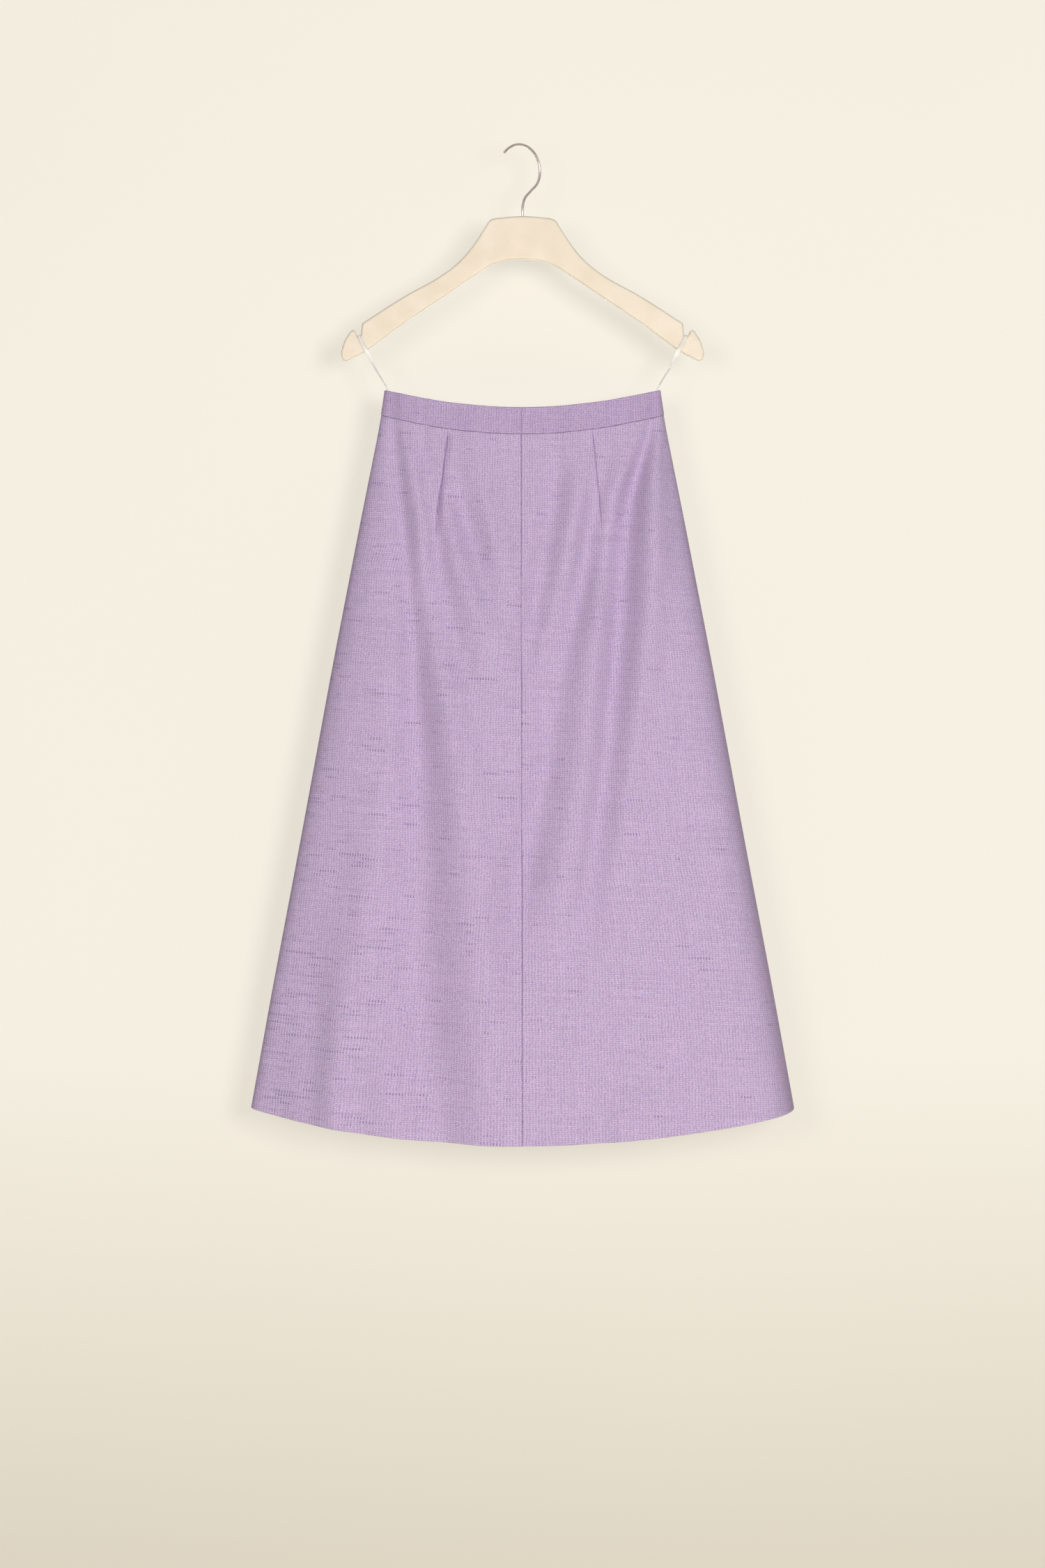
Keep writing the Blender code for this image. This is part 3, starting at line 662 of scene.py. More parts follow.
def curveMesh(name, lines, radius, sides=0, thickness=0.0, steps=12, handles=None):
    # round rods of one radius along lines of points or, with a thickness, a flat plate whose outlines the
    # lines are and whose edge is rounded by the radius; caps are welded on, and faces point out
    curve = bpy.data.curves.new(name, "CURVE")
    curve.dimensions = "2D" if thickness else "3D"
    curve.resolution_u = steps
    curve.bevel_depth = radius
    curve.bevel_resolution = sides
    if thickness:
        curve.fill_mode = "BOTH"
        curve.extrude = thickness / 2 - radius
        curve.offset = -radius
    else:
        curve.use_fill_caps = True
    for line in lines:
        spline = curve.splines.new("BEZIER" if handles else "POLY")
        points = spline.bezier_points if handles else spline.points
        points.add(len(line) - 1)
        for count, (point, at) in enumerate(zip(points, line)):
            point.co = at if handles else (*at, 1.0)
            if handles:
                point.handle_left_type = point.handle_right_type = handles[count]
        spline.use_cyclic_u = thickness > 0
    guide = bpy.data.objects.new(name, curve)
    bpy.context.scene.collection.objects.link(guide)
    raw = bpy.data.meshes.new_from_object(guide.evaluated_get(bpy.context.evaluated_depsgraph_get()))
    bpy.data.objects.remove(guide, do_unlink=True)
    work = bmesh.new()
    work.from_mesh(raw)
    bpy.data.meshes.remove(raw)
    bmesh.ops.remove_doubles(work, verts=work.verts[:], dist=0.000002)
    bmesh.ops.recalc_face_normals(work, faces=work.faces[:])
    return meshOf(work, name, 45)


def clothFrame(facing, half, distance, z):
    # the cloth's point at a distance from the middle seam, and the outward direction there
    turn = np.interp(distance, arcAlong(facing, half, z)[1], fineTurns)
    turns = np.clip(np.array([[turn - 0.002, turn + 0.002]] * 2), 0.0, 1.0)
    heights = z + np.array([[0.001, 0.001], [-0.001, -0.001]])
    patch = clothSurface(facing, half, turns, heights)
    return patch.mean(axis=(0, 1)), outwardOf(patch, facing, half)[0, 0]


def stitch(facing, half, start, end):
    # one stitch between two places, each a distance from the middle seam, a height and an offset; it
    # dips in at its ends
    line = []
    for share, sunk in ((0.0, 0.8), (0.15, 0.0), (0.85, 0.0), (1.0, 0.8)):
        distance, z, offset = (a + (b - a) * share for a, b in zip(start, end))
        point, outward = clothFrame(facing, half, distance, z)
        line.append(point + outward * (offset + sewing["lift"] * (2 * sunk - 1) * (1 if offset < 0 else -1)))
    return line


def makeHemStitches(facing, half, material):
    # slanted catch stitches that hold the turned-up hem to the inside of the panel
    edge = hem + cloth["hemDepth"]
    width = 0.97 * math.hypot(levelAt(edge)[0], levelAt(edge)[1])
    lines = []
    distance = sewing["hemStart"]
    inside = -cloth["wall"] * (1 + panel["hemLayers"])
    while distance < width:
        low = (distance, edge - sewing["hemHalfHeight"], inside)
        high = (distance + sewing["hemSlant"], edge + sewing["hemHalfHeight"], -cloth["wall"])
        lines.append(stitch(facing, half, low, high))
        distance += sewing["hemSpacing"]
    name = faceNames[facing] + "HemStitches" + sideNames[half]
    place(name, curveMesh(name, lines, sewing["threadRadius"]), material)


# ---- the zip: two woven tapes, their coils, a slider and its pull

zipper = {
    "length": 0.200,
    "tapeWidth": 0.0115,
    "tapeWall": 0.0006,
    "cord": (0.00025, 0.0022, 0.0005),  # height, place and reach of its corded edge, beside the coil
    "belowTop": 0.0040,
    "underBand": 0.0003,
    "tapeColumns": 10,
    "tapeRows": 90,
    "coilPitch": 0.0014,
    "coilAcross": 0.0012,
    "coilHigh": 0.0005,
    "coilWire": 0.00024,
    "coilCentre": 0.0009,
    "coilBelowTape": 0.0015,
    "coilShort": 0.006,  # how much shorter than its tape it is
    "stitchInset": 0.002,  # from either end of the tape
    "pointsPerTurn": 8,
    "sliderSize": (0.0050, 0.0016, 0.0085),
    "sliderBelowTop": 0.0090,
    "sliderEdge": 0.00035,
    "sliderTaper": 0.30,
    "sliderCrown": 0.22,
    "seatGap": 0.0003,
    "bridgeRadius": 0.0019,
    "bridgeWire": 0.00045,
    "bridgeClearance": 0.0009,
    "pullLength": 0.0210,
    "pullThickness": 0.0010,
    "pullTopWidth": 0.0044,
    "pullLowWidth": 0.0062,
    "pullBar": 0.0006,
    "pullEye": (0.0021, 0.0024),
    "pullEdge": 0.00022,
}


def tapeMaterial():
    # zip tape of dyed polyester, woven in a fine herringbone: close ribs along it and a faint shine; the
    # weave's low parts are painted darker as shade and its ribs paler
    material, add = newMaterial("woven polyester tape")
    grain = add("UVMap", uv_map="grain")
    parts = add("SeparateXYZ", [grain])
    # warps 0.45 mm apart, drawn a little coarser than real ones so that they show
    ribs = add("Math", [parts.outputs[0], 2 * math.pi / 0.00045], "MULTIPLY")
    ribs = add("Math", [ribs], "SINE")
    slant = add("Math", [parts.outputs[1], 2 * math.pi / 0.0006], "MULTIPLY")
    slant = add("Math", [slant], "SINE")
    weave = add("Math", [slant, 0.35, ribs], "MULTIPLY_ADD")
    evened = add("MapRange", [weave, -1.35, 1.35])
    # painted shade and highlight: the weave's low parts are painted darker, its ribs paler
    shade = add("ValToRGB", [evened], stops=((0, "7d6790"), (1, "a78fbc")))
    bump = add("Bump", {"Height": weave, "Strength": 0.5, "Distance": 0.00012})
    shader = add("BsdfPrincipled", {"Base Color": shade, "Roughness": 0.7, "Specular IOR Level": 0.35,
                                    "Sheen Weight": 0.15, "Normal": bump})
    add("OutputMaterial", [shader])
    return material


def coilMaterial():
    # coiled polyester monofilament, dyed: smooth, slightly glossy and a little see-through at its rim
    material, add = newMaterial("polyester monofilament coil")
    where = add("TexCoord").outputs["Object"]
    uneven = add("TexNoise", {"Vector": where, "Scale": 1000 / 3.0, "Detail": 2.0})
    shade = add("ValToRGB", [uneven], stops=((0, "8f78a4"), (1, "ab93c0")))
    shader = add("BsdfPrincipled", {"Base Color": shade, "Roughness": 0.32, "IOR": 1.57})
    add("OutputMaterial", [shader])
    return material


def enamelMaterial():
    # die-cast zinc under baked enamel: an even, slightly wavy gloss with worn, paler metal at its edges
    material, add = newMaterial("enamelled die-cast zinc")
    where = add("TexCoord").outputs["Object"]
    ripple = add("TexNoise", {"Vector": where, "Scale": 1000 / 1.2, "Detail": 3.0})
    tone = add("ValToRGB", [ripple], stops=((0, "7c6590"), (1, "927aa6")))
    bared = add("TexNoise", {"Vector": where, "Scale": 1000 / 0.6, "Detail": 4.0})
    rims = add("NewGeometry")
    worn = add("Math", [rims.outputs["Pointiness"], bared], "MULTIPLY")
    worn = add("MapRange", [worn, 0.335, 0.38, 0.0, 0.5])
    colour = add("Mix", {0: worn, 6: tone, 7: linear("c9c4cb")}, data_type="RGBA").outputs[2]
    gloss = add("MapRange", [ripple, 0.0, 1.0, 0.24, 0.42])
    bump = add("Bump", {"Height": ripple, "Strength": 0.15, "Distance": 0.0001})
    shader = add("BsdfPrincipled", {"Base Color": colour, "Roughness": gloss, "Coat Weight": 0.4,
                                    "Coat Roughness": 0.2, "Normal": bump})
    add("OutputMaterial", [shader])
    return material


def zipInside():
    return cloth["bandProud"] - cloth["bandWall"] - zipper["underBand"]


def makeTape(half, material):
    top = bandTop - zipper["belowTop"]
    heights = (top - zipper["length"] * np.linspace(0.0, 1.0, zipper["tapeRows"] + 1))[:, None]
    across = (zipper["tapeWidth"] * np.linspace(0.0, 1.0, zipper["tapeColumns"] + 1))[None, :]
    turns = np.arcsin(across / levelAt(heights)[0]) * 2 / math.pi
    points = clothSurface(back, half, turns, heights + 0.0 * across)
    outward = outwardOf(points, back, half)
    high, at, reach = zipper["cord"]
    cord = high * np.exp(-((across - at) / reach) ** 2)
    right = np.full(points.shape[:2], zipInside())
    grain = np.stack(np.broadcast_arrays(half * across, heights), axis=-1)
    side = sideNames[half]
    mesh = offsetWall("zipTape" + side, points, outward, (right, right - zipper["tapeWall"] - cord), grain)
    piece = place("zipTape" + side, mesh, material, nodes=["zip_tape_" + side.lower()])


def makeCoil(half, material):
    top = bandTop - zipper["belowTop"] - zipper["coilBelowTape"]
    turns = int((zipper["length"] - zipper["coilShort"]) / zipper["coilPitch"])
    depth = zipInside() - zipper["tapeWall"] - zipper["coilHigh"] - 0.0001
    line = []
    for step in range(turns * zipper["pointsPerTurn"]):
        run = step / zipper["pointsPerTurn"]
        angle = 2 * math.pi * run
        z = top - zipper["coilPitch"] * (run + (0.5 if half > 0 else 0.0))
        point = clothSurface(back, half, np.array(0.0), np.array(z))
        across = half * (zipper["coilCentre"] - zipper["coilAcross"] * math.cos(angle))
        line.append((point[0] + across, point[1] + depth + zipper["coilHigh"] * math.sin(angle), point[2]))
    name = "zipCoil" + sideNames[half]
    place(name, curveMesh(name, [line], zipper["coilWire"]), material)


def makeTapeStitches(half, material):
    pitch = sewing["tapeStitch"] + sewing["tapeStitchGap"]
    at = zipper["tapeWidth"] - sewing["tapeLineIn"]
    offset = zipInside() - zipper["tapeWall"]
    lines = []
    for count in range(int((zipper["length"] - 2 * zipper["stitchInset"]) / pitch)):
        z = bandTop - zipper["belowTop"] - zipper["stitchInset"] - count * pitch
        lines.append(stitch(back, half, (at, z, offset), (at, z - sewing["tapeStitch"], offset)))
    name = "zipStitches" + sideNames[half]
    place(name, curveMesh(name, lines, sewing["threadRadius"]), material)


def sliderSeat():
    # the middle of the slider's outer face
    depth = levels["bandTop"][2] + 0.00015 + cloth["bandProud"]
    y = depth + zipper["seatGap"] + zipper["sliderSize"][1]
    return Vector((0.0, y, bandTop - zipper["sliderBelowTop"]))


def pullAxis():
    return sliderSeat() + Vector((0.0, zipper["bridgeClearance"], 0.0))


def arcPoints(radius, degrees):
    angles = [math.radians(turn) for turn in degrees]
    return [(radius * math.cos(angle), radius * math.sin(angle)) for angle in angles]


def makeSlider(material):
    # a crowned plate, wide above and narrow below, with the bridge that carries the pull
    width, thick, tall = zipper["sliderSize"]
    body = bmesh.new()
    bmesh.ops.create_cube(body, size=1.0)
    bmesh.ops.subdivide_edges(body, edges=body.edges[:], cuts=3, use_grid_fill=True)
    for corner in body.verts:
        x, y, z = corner.co
        narrow = 1 - zipper["sliderTaper"] * max(0.0, -2 * z) ** 1.6
        crown = 1 - zipper["sliderCrown"] * (2 * x) ** 2 if y > 0 else 1.0
        corner.co = (x * width * narrow, y * thick * crown, z * tall)
    rims = [edge for edge in body.edges if edge.calc_face_angle() > 0.9]
    bmesh.ops.bevel(body, geom=rims, offset=zipper["sliderEdge"], segments=3, profile=0.5, affect="EDGES",
                    material=-1)
    bmesh.ops.translate(body, verts=body.verts[:], vec=sliderSeat() - Vector((0.0, thick / 2, 0.0)))
    axis = pullAxis()
    legs = zipper["bridgeClearance"] + thick / 2
    radius = zipper["bridgeRadius"]
    route = [(-radius, -legs)] + arcPoints(radius, range(180, -1, -10)) + [(radius, -legs)]
    bridge = curveMesh("sliderBridge", [[(axis.x, axis.y + out, axis.z + along) for along, out in route]],
                       zipper["bridgeWire"], sides=3)
    body.from_mesh(bridge)
    bmesh.ops.recalc_face_normals(body, faces=body.faces[:])
    place("zipSlider", meshOf(body, "zipSlider", 40), material, nodes=["zip_slider"])


def makePull(material):
    # a tapered tab with rounded edges and an eye under its bar
    top, low, bar = zipper["pullTopWidth"] / 2, zipper["pullLowWidth"] / 2, zipper["pullBar"]
    foot = bar - zipper["pullLength"] + low
    shoulder = bar - top
    corner = ((top, shoulder), (top * 0.93, shoulder + top * 0.55), (2 * top / 3, bar))
    outline = [(-x, z) for x, z in corner] + list(corner[::-1])
    outline += [(x, foot - z) for x, z in arcPoints(low, range(0, 181, 12))]
    eyeHalf, eyeLow = zipper["pullEye"][0] / 2, -bar - zipper["pullEye"][1]
    eye = [(-eyeHalf, -bar), (-eyeHalf, eyeLow), (eyeHalf, eyeLow), (eyeHalf, -bar)]
    rings = [[(x, z, 0.0) for x, z in ring] for ring in (outline, eye)]
    mesh = curveMesh("zipPull", rings, zipper["pullEdge"], sides=3, thickness=zipper["pullThickness"])
    mesh.transform(Matrix.Translation(pullAxis()) @ Matrix.Rotation(math.pi / 2, 4, "X"))
    place("zipPull", mesh, material, body="pull", nodes=["zip_pull"])


# ---- hanging loops

loop = {
    "wall": 0.0003,
    "rows": 240,
    "columns": 12,
    "rib": 0.00040,
    "width": 0.0045,
    "cup": 0.00015,  # how much it is cupped across
    "threadRadius": 0.00013,
    "tackHeights": (-0.3148, -0.3141, -0.3134, -0.3127),
    "tackReach": (0.0017, 0.0015),  # every other stitch is shorter
    "tackLift": 0.00012,
    "tackSink": 0.0002,
}

# x, apart, y and z of one strand's middle, the direction of its width, and its width: from the sewn end up
loopStations = (
    (0.1584, 0.0007, 0.0000, -0.3160, 0.0, 1.0, 0.0, 0.0045),
    (0.1584, 0.0007, 0.0000, -0.3000, 0.0, 1.0, 0.0, 0.0045),
    (0.1588, 0.0007, 0.0004, -0.2860, -0.1, 1.0, -0.1, 0.0045),
    (0.1718, 0.0003, 0.0048, -0.2635, -0.6, 0.7, -0.3, 0.0045),
    (0.1832, 0.0, 0.0074, -0.2420, -0.9, 0.0, -0.45, 0.0044),
    (0.1885, 0.0, 0.0073, -0.2320, -0.9, 0.0, -0.42, 0.0042),
    (0.1922, 0.0, 0.0066, -0.2236, -0.97, 0.0, -0.10, 0.0030),
    (0.1926, 0.0, 0.0000, -0.2229, -1.0, 0.0, 0.0, 0.0030),
)


def satinMaterial():
    # satin ribbon of white polyester: long floats make a smooth face that shines in bands across its width
    material, add = newMaterial("white satin ribbon")
    grain = add("UVMap", uv_map="grain")
    parts = add("SeparateXYZ", [grain])
    # wefts 0.4 mm apart, drawn coarser than real ones so that they show
    wefts = add("Math", [parts.outputs[1], 2 * math.pi / loop["rib"]], "MULTIPLY")
    wefts = add("Math", [wefts], "SINE")
    edge = add("Math", [parts.outputs[0]], "ABSOLUTE")
    selvedge = add("MapRange", [edge, 0.0013, 0.0020, 1.0, 0.0])
    height = add("Math", [wefts, selvedge], "MULTIPLY")
    # painted shade: the low parts between the wefts are painted up to 4% darker
    tone = add("MapRange", [wefts, -1.0, 1.0, 0.96, 1.0])
    colour = add("VectorMath", {0: linear("efece3")[:3], "Scale": tone}, "SCALE")
    bump = add("Bump", {"Height": height, "Strength": 0.25, "Distance": 0.00005})
    shader = add("BsdfPrincipled", {"Base Color": colour, "Roughness": 0.55, "IOR": 1.45,
                                    "Sheen Weight": 0.12, "Subsurface Weight": 0.6,
                                    "Subsurface Radius": (1.0, 1.0, 1.0), "Subsurface Scale": 0.003,
                                    "Normal": bump})
    add("OutputMaterial", [shader])
    return material


def stationAt(track, run):
    # Catmull-Rom between the stations on either side
    spot = run * (len(track) - 1)
    first = min(int(spot), len(track) - 2)
    t = spot - first
    before, after = track[max(first - 1, 0)], track[min(first + 2, len(track) - 1)]
    start, end = track[first], track[first + 1]
    blend = (2 * t**3 - 3 * t**2 + 1) * start + (3 * t**2 - 2 * t**3) * end
    return blend + (t**3 - 2 * t**2 + t) * (end - before) / 2 + (t**3 - t**2) * (after - start) / 2


def makeLoop(half, material):
    # up the front from inside the band, over the notch and down the back
    strands = []
    for facing in (front, back):
        strands.append([
            (half * (x - facing * apart), facing * y, z, half * ax, facing * ay, az, width)
            for x, apart, y, z, ax, ay, az, width in loopStations
        ])
    track = np.array(strands[0] + strands[1][-2::-1])
    across = np.linspace(-0.5, 0.5, loop["columns"] + 1)
    thick = loop["wall"] / 2 * np.sqrt(1 - 0.96 * np.abs(2 * across) ** 6)
    right, wrong, grain = [], [], []
    run, last = 0.0, None
    for down in np.linspace(0.0, 1.0, loop["rows"] + 1):
        here = stationAt(track, down)
        ahead = (stationAt(track, min(down + 0.01, 1.0)) - stationAt(track, max(down - 0.01, 0.0)))[:3]
        sideways = here[3:6] / np.linalg.norm(here[3:6])
        outward = np.cross(sideways, ahead)
        outward /= np.linalg.norm(outward)
        sideways = np.cross(ahead, outward)
        sideways /= np.linalg.norm(sideways)
        run += 0.0 if last is None else float(np.linalg.norm(here[:3] - last))
        last = here[:3]
        cup = loop["cup"] * (1 - (2 * across) ** 2)
        line = here[:3] + np.outer(across * here[6], sideways) + np.outer(cup, outward)
        right.append(line + np.outer(thick, outward))
        wrong.append(line - np.outer(thick, outward))
        grain.append(np.stack((across * loop["width"], np.full(len(across), run)), axis=-1))
    name = "loop" + sideNames[half]
    mesh = sheetWall(name, np.array(right), np.array(wrong), np.array(grain))
    place(name, mesh, material, nodes=["loop_" + sideNames[half].lower()])


def makeLoopTack(half, material):
    # a few stitches through the ribbon's sewn end
    lines = []
    x = loopStations[0][0] - loopStations[0][1] - loop["wall"] / 2
    lift, sink = loop["tackLift"], -loop["tackSink"]
    for count, z in enumerate(loop["tackHeights"]):
        reach = loop["tackReach"][count % 2]
        lines.append([(half * (x - out), y * reach, z) for y, out in
                      ((-1, sink), (-0.8, lift), (0.8, lift), (1, sink))])
    name = "loopTack" + sideNames[half]
    place(name, curveMesh(name, lines, loop["threadRadius"]), material)


# ---- the hanger and its hook

hangerSizes = {
    "thickness": 0.0120,
    "edge": 0.0025,
    "outlineSteps": 12,
    "edgeSteps": 5,
    "lipDepth": 0.00016,
    "flatWithin": 0.00001,  # of the highest points: the faces that sink
}

# x and z in mm, from the middle of the neck round the left half to the middle of the arch; the two
# points that say so are sharp corners
hangerOutline = (
    (0, -82.8), (-22, -84.3), (-38, -87.5), (-43.5, -95.1), (-54.1, -111.5), (-68.9, -130.4),
    (-89.4, -148.4), (-141.9, -178.8), (-188.5, -208.8, "VECTOR"), (-190, -222.5, "VECTOR"),
    (-192.5, -224.7), (-195.2, -222.2), (-198.5, -216.8), (-206.2, -224.3), (-211.6, -236.2),
    (-213, -247.2), (-209.8, -252), (-197.5, -247.8), (-181.2, -238.6), (-141.9, -209.9),
    (-82.8, -170.2), (-54.1, -150.9), (-30, -137), (0, -132.8),
)

hook = {
    "wireRadius": 0.0016,
    "turn": math.radians(43),
    "radius": 0.0280,
    "mouth": ((-0.0292, -0.0110), (-0.0207, -0.0041), (-0.0105, 0.0004)),  # along the hook's plane, and z
    "neck": ((0.0034, -0.0615), (0.0003, -0.0705), (0.0, -0.0824)),
    "arcDegrees": (90, 60, 30, 0, -30, -60),
    "stemEnd": -0.1025,
    "curveSteps": 14,
    "sides": 6,
    "endBevel": 0.0003,
}


def creamMaterial():
    # moulded fibre and resin, sanded matt: an even cream with faint darker flecks and a very fine grit
    material, add = newMaterial("moulded fibre, cream")
    where = add("TexCoord").outputs["Object"]
    cloudy = add("TexNoise", {"Vector": where, "Scale": 1000 / 28.0, "Detail": 3.0})
    tone = add("ValToRGB", [cloudy], stops=((0.35, "e2d5c1"), (0.65, "e7dbca")))
    # flecks about 1 mm across, of which few show
    flecks = add("TexVoronoi", {"Vector": where, "Scale": 1000 / 2.4})
    fleckLot = add("SeparateColor", [flecks.outputs["Color"]])
    some = add("Math", [fleckLot.outputs[0], 0.90], "GREATER_THAN")
    dot = add("MapRange", [flecks.outputs["Distance"], 0.12, 0.42, 0.12, 0.0])
    shown = add("Math", [dot, some], "MULTIPLY")
    colour = add("Mix", {0: shown, 6: tone, 7: linear("c9ab84")}, data_type="RGBA").outputs[2]
    grit = add("TexNoise", {"Vector": where, "Scale": 1000 / 0.9, "Detail": 3.0})
    rough = add("MapRange", [grit, 0.0, 1.0, 0.46, 0.60])
    bump = add("Bump", {"Height": grit, "Strength": 0.10, "Distance": 0.0002})
    shader = add("BsdfPrincipled", {"Base Color": colour, "Roughness": rough, "IOR": 1.5, "Normal": bump,
                                    "Subsurface Weight": 0.75, "Subsurface Radius": (1.0, 0.85, 0.7),
                                    "Subsurface Scale": 0.007})
    add("OutputMaterial", [shader])
    return material


def steelMaterial():
    # drawn steel wire, nickel plated and tumbled: satin, with fine lines along it and a few dull spots
    material, add = newMaterial("satin nickel-plated steel")
    where = add("TexCoord").outputs["Object"]
    along = add("Mapping", {"Vector": where, "Scale": (1.0, 1.0, 0.12)})
    lines = add("TexNoise", {"Vector": along, "Scale": 1000 / 0.5, "Detail": 3.0})
    dulled = add("TexNoise", {"Vector": where, "Scale": 1000 / 6.0, "Detail": 4.0})
    rough = add("Math", [dulled, 0.22, 0.20], "MULTIPLY_ADD")
    tone = add("ValToRGB", [dulled], stops=((0, "b0a79d"), (1, "cdc6bd")))
    bump = add("Bump", {"Height": lines, "Strength": 0.10, "Distance": 0.00006})
    shader = add("BsdfPrincipled", {"Base Color": tone, "Metallic": 1.0, "Roughness": rough, "Normal": bump})
    add("OutputMaterial", [shader])
    return material


def makeHanger(material):
    left = [(x / 1000, z / 1000, *(kind or ("AUTO",))) for x, z, *kind in hangerOutline]
    outline = left + [(-x, z, kind) for x, z, kind in left[-2:0:-1]]
    blank = bmesh.new()
    sizes = [hangerSizes[size] for size in ("edge", "edgeSteps", "thickness", "outlineSteps")]
    blank.from_mesh(curveMesh("hangerOutline", [[(x, z, 0.0) for x, z, _ in outline]], *sizes,
                              handles=[kind for _, _, kind in outline]))
    # each of the two flat faces lies a step lower than the rounded rim around it
    level = hangerSizes["thickness"] / 2 - hangerSizes["flatWithin"]
    for side in (-1, 1):
        flat = [face for face in blank.faces if all(point.co.z * side > level for point in face.verts)]
        sunk = bmesh.ops.extrude_face_region(blank, geom=flat)["geom"]
        bmesh.ops.delete(blank, geom=flat, context="FACES_KEEP_BOUNDARY")
        lowered = [part for part in sunk if isinstance(part, bmesh.types.BMVert)]
        bmesh.ops.translate(blank, verts=lowered, vec=(0.0, 0.0, -side * hangerSizes["lipDepth"]))
    bmesh.ops.rotate(blank, verts=blank.verts[:], matrix=Matrix.Rotation(math.pi / 2, 3, "X"))
    place("hangerBody", meshOf(blank, "hangerBody", 50), material, nodes=["hanger"])


def makeHook(material):
    centre = hook["wireRadius"] - hook["radius"]
    arc = [(along, centre + z) for along, z in arcPoints(hook["radius"], hook["arcDegrees"])]
    route = [(along, 0.0, z) for along, z in (*hook["mouth"], *arc, *hook["neck"], (0.0, hook["stemEnd"]))]
    wire = bmesh.new()
    wire.from_mesh(curveMesh("hookWire", [route], hook["wireRadius"], hook["sides"],
                             steps=hook["curveSteps"], handles=["AUTO"] * len(route)))
    ends = [edge for edge in wire.edges if edge.calc_face_angle() > math.radians(60)]
    bmesh.ops.bevel(wire, geom=ends, offset=hook["endBevel"], segments=3, profile=0.5, affect="EDGES",
                    material=-1)
    bmesh.ops.rotate(wire, verts=wire.verts[:], matrix=Matrix.Rotation(hook["turn"], 3, "Z"))
    place("hookWire", meshOf(wire, "hookWire"), material, nodes=["hanger_hook"])


tapeCloth, coilYarn, enamel = tapeMaterial(), coilMaterial(), enamelMaterial()
satin, lilacThread = satinMaterial(), threadMaterial("lilac sewing thread", "b79fcb")
whiteThread = threadMaterial("white sewing thread", "f0ece2")
for half in sideNames:
    makeTape(half, tapeCloth)
    makeCoil(half, coilYarn)
    makeTapeStitches(half, lilacThread)
    makeLoop(half, satin)
    makeLoopTack(half, whiteThread)
    for facing in faceNames:
        makeHemStitches(facing, half, lilacThread)
makeSlider(enamel)
makePull(enamel)
print("zip, loops and hem stitched")
makeHanger(creamMaterial())
makeHook(steelMaterial())
print("hanger made")


# ---- studio: a pale backdrop and floor, seen from their front only, and soft lamps

studio = {
    "wallBehind": 0.095,
    "floorHeight": -1.75,
    "wallHigh": "f4efe2",
    "wallMiddle": "f3eee1",
    # painted shade: the wall's colour low down, darker and warmer
    "wallShadedLow": "dad2c0",
    "evenLight": 0.71,  # share of the wall's brightness that takes no shadow
    "cameraDistance": 4.0,
    "cameraHeight": -0.7503,
    "frameHeight": 1.845,
}


def paintedWall():
    # matt emulsion on plaster, rolled on, with a faint broad unevenness; painted darker and warmer towards
    # the bottom of the wall and the front of the floor as painted shade, and glowing evenly in the share
    # that takes no shadow
    material, add = newMaterial("matt wall paint")
    where = add("TexCoord").outputs["Object"]
    broad = add("TexNoise", {"Vector": where, "Scale": 1.1, "Detail": 2.0})
    cloudy = add("MapRange", [broad, 0.3, 0.7, 0.985, 1.0])
    up = add("SeparateXYZ", [where])
    # painted shade: darker and warmer towards the bottom of the wall, and towards the front of the floor
    height = add("MapRange", [up.outputs[1], -2.0, 0.0])
    paintedShadeTones = (0, studio["wallShadedLow"]), (0.34, studio["wallMiddle"]), (1, studio["wallHigh"])
    paint = add("ValToRGB", [height], stops=paintedShadeTones)
    paint = add("VectorMath", {0: paint, "Scale": cloudy}, "SCALE")
    matt = add("VectorMath", {0: paint, "Scale": 1 - studio["evenLight"]}, "SCALE")
    dull = add("BsdfDiffuse", {"Color": matt})
    evened = add("Emission", {"Color": paint, "Strength": studio["evenLight"]})
    wall = add("AddShader", [dull, evened])
    side = add("NewGeometry")
    clear = add("BsdfTransparent")
    shown = add("MixShader", [side.outputs["Backfacing"], wall, clear])
    add("OutputMaterial", [shown])
    return material


def makeStage(name, size, turn, spot, paint):
    flat = bmesh.new()
    bmesh.ops.create_grid(flat, x_segments=1, y_segments=1, size=size / 2)
    piece = bpy.data.objects.new(name, meshOf(flat, name))
    piece.data.materials.append(paint)
    piece.location = spot
    piece.rotation_euler = (turn, 0.0, 0.0)
    bpy.context.scene.collection.objects.link(piece)
    piece.visible_diffuse = name == "floor"
    piece.visible_glossy = name == "floor"
    piece.visible_shadow = name == "floor"


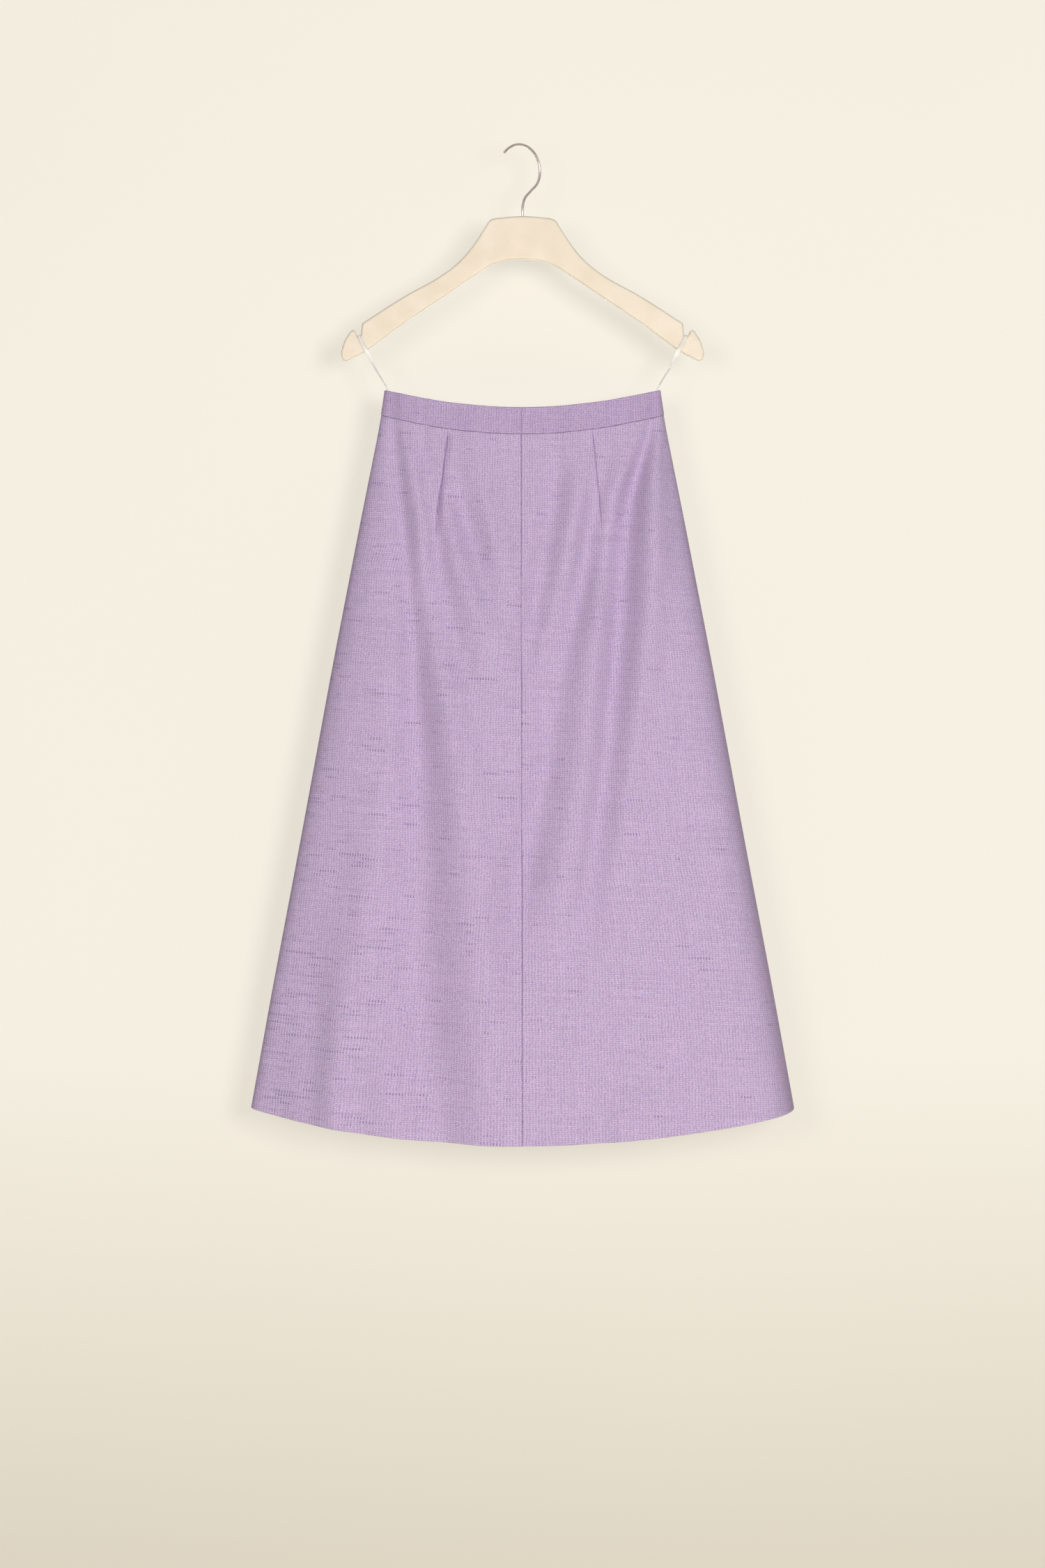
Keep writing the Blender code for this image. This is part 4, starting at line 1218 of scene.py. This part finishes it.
# spot, the point it is turned to, diameter in metres, and watts
lamps = {
    "key from the front right": ((1.20, -4.2, -0.35), (0.0, 0.0, -0.62), 1.2, 112),
    "second from the front left": ((-1.25, -4.2, -0.35), (0.0, 0.0, -0.62), 1.2, 54),
    "glow of the wall": ((0.0, 0.090, -0.17), (0.0, -1.0, -0.17), 0.52, 0.25),  # on rims and ribbons
    "bounce from the floor": ((0.1, -2.6, -2.4), (0.0, 0.0, -0.6), 2.0, 14),
    "light behind": ((0.0, 3.2, 0.2), (0.0, 0.0, -0.7), 1.6, 55),
}


def makeLamp(name, spot, target, size, watts):
    lamp = bpy.data.lights.new(name, "AREA")
    lamp.shape = "DISK"
    lamp.size = size
    lamp.energy = watts
    piece = bpy.data.objects.new(name, lamp)
    piece.location = spot
    piece.rotation_euler = (Vector(target) - Vector(spot)).to_track_quat("-Z", "Y").to_euler()
    bpy.context.scene.collection.objects.link(piece)


def makeAir():
    # pale all round to the camera, and dim as light
    world = bpy.data.worlds.new("studio air")
    world.use_nodes = True
    add = partial(addNode, world.node_tree)
    air = world.node_tree.nodes["Background"]
    air.inputs["Color"].default_value = linear("fbf8f1")
    seen = add("LightPath")
    mirrored = add("Math", [seen.outputs["Is Glossy Ray"], 0.59, 0.10], "MULTIPLY_ADD")
    strength = add("Math", [seen.outputs["Is Camera Ray"], 0.8, mirrored], "MULTIPLY_ADD")
    world.node_tree.links.new(strength.outputs[0], air.inputs["Strength"])
    bpy.context.scene.world = world


paint = paintedWall()
middle = studio["floorHeight"] + 2.0
makeStage("wall", 4.0, math.pi / 2, (0.0, studio["wallBehind"], middle), paint)
makeStage("floor", 8.0, 0.0, (0.0, 0.0, studio["floorHeight"]), paint)
for name, facts in lamps.items():
    makeLamp(name, *facts)
makeAir()
bpy.context.scene.view_settings.view_transform = "Standard"

camera = bpy.data.cameras.new("camera")
camera.sensor_width = 36.0
camera.lens = 36.0 * studio["cameraDistance"] / studio["frameHeight"]
camera.clip_end = 40.0
cameraPiece = bpy.data.objects.new("camera", camera)
cameraPiece.location = (0.0, -studio["cameraDistance"], studio["cameraHeight"])
cameraPiece.rotation_euler = (math.pi / 2, 0.0, 0.0)
bpy.context.scene.collection.objects.link(cameraPiece)
bpy.context.scene.camera = cameraPiece
print("studio set")
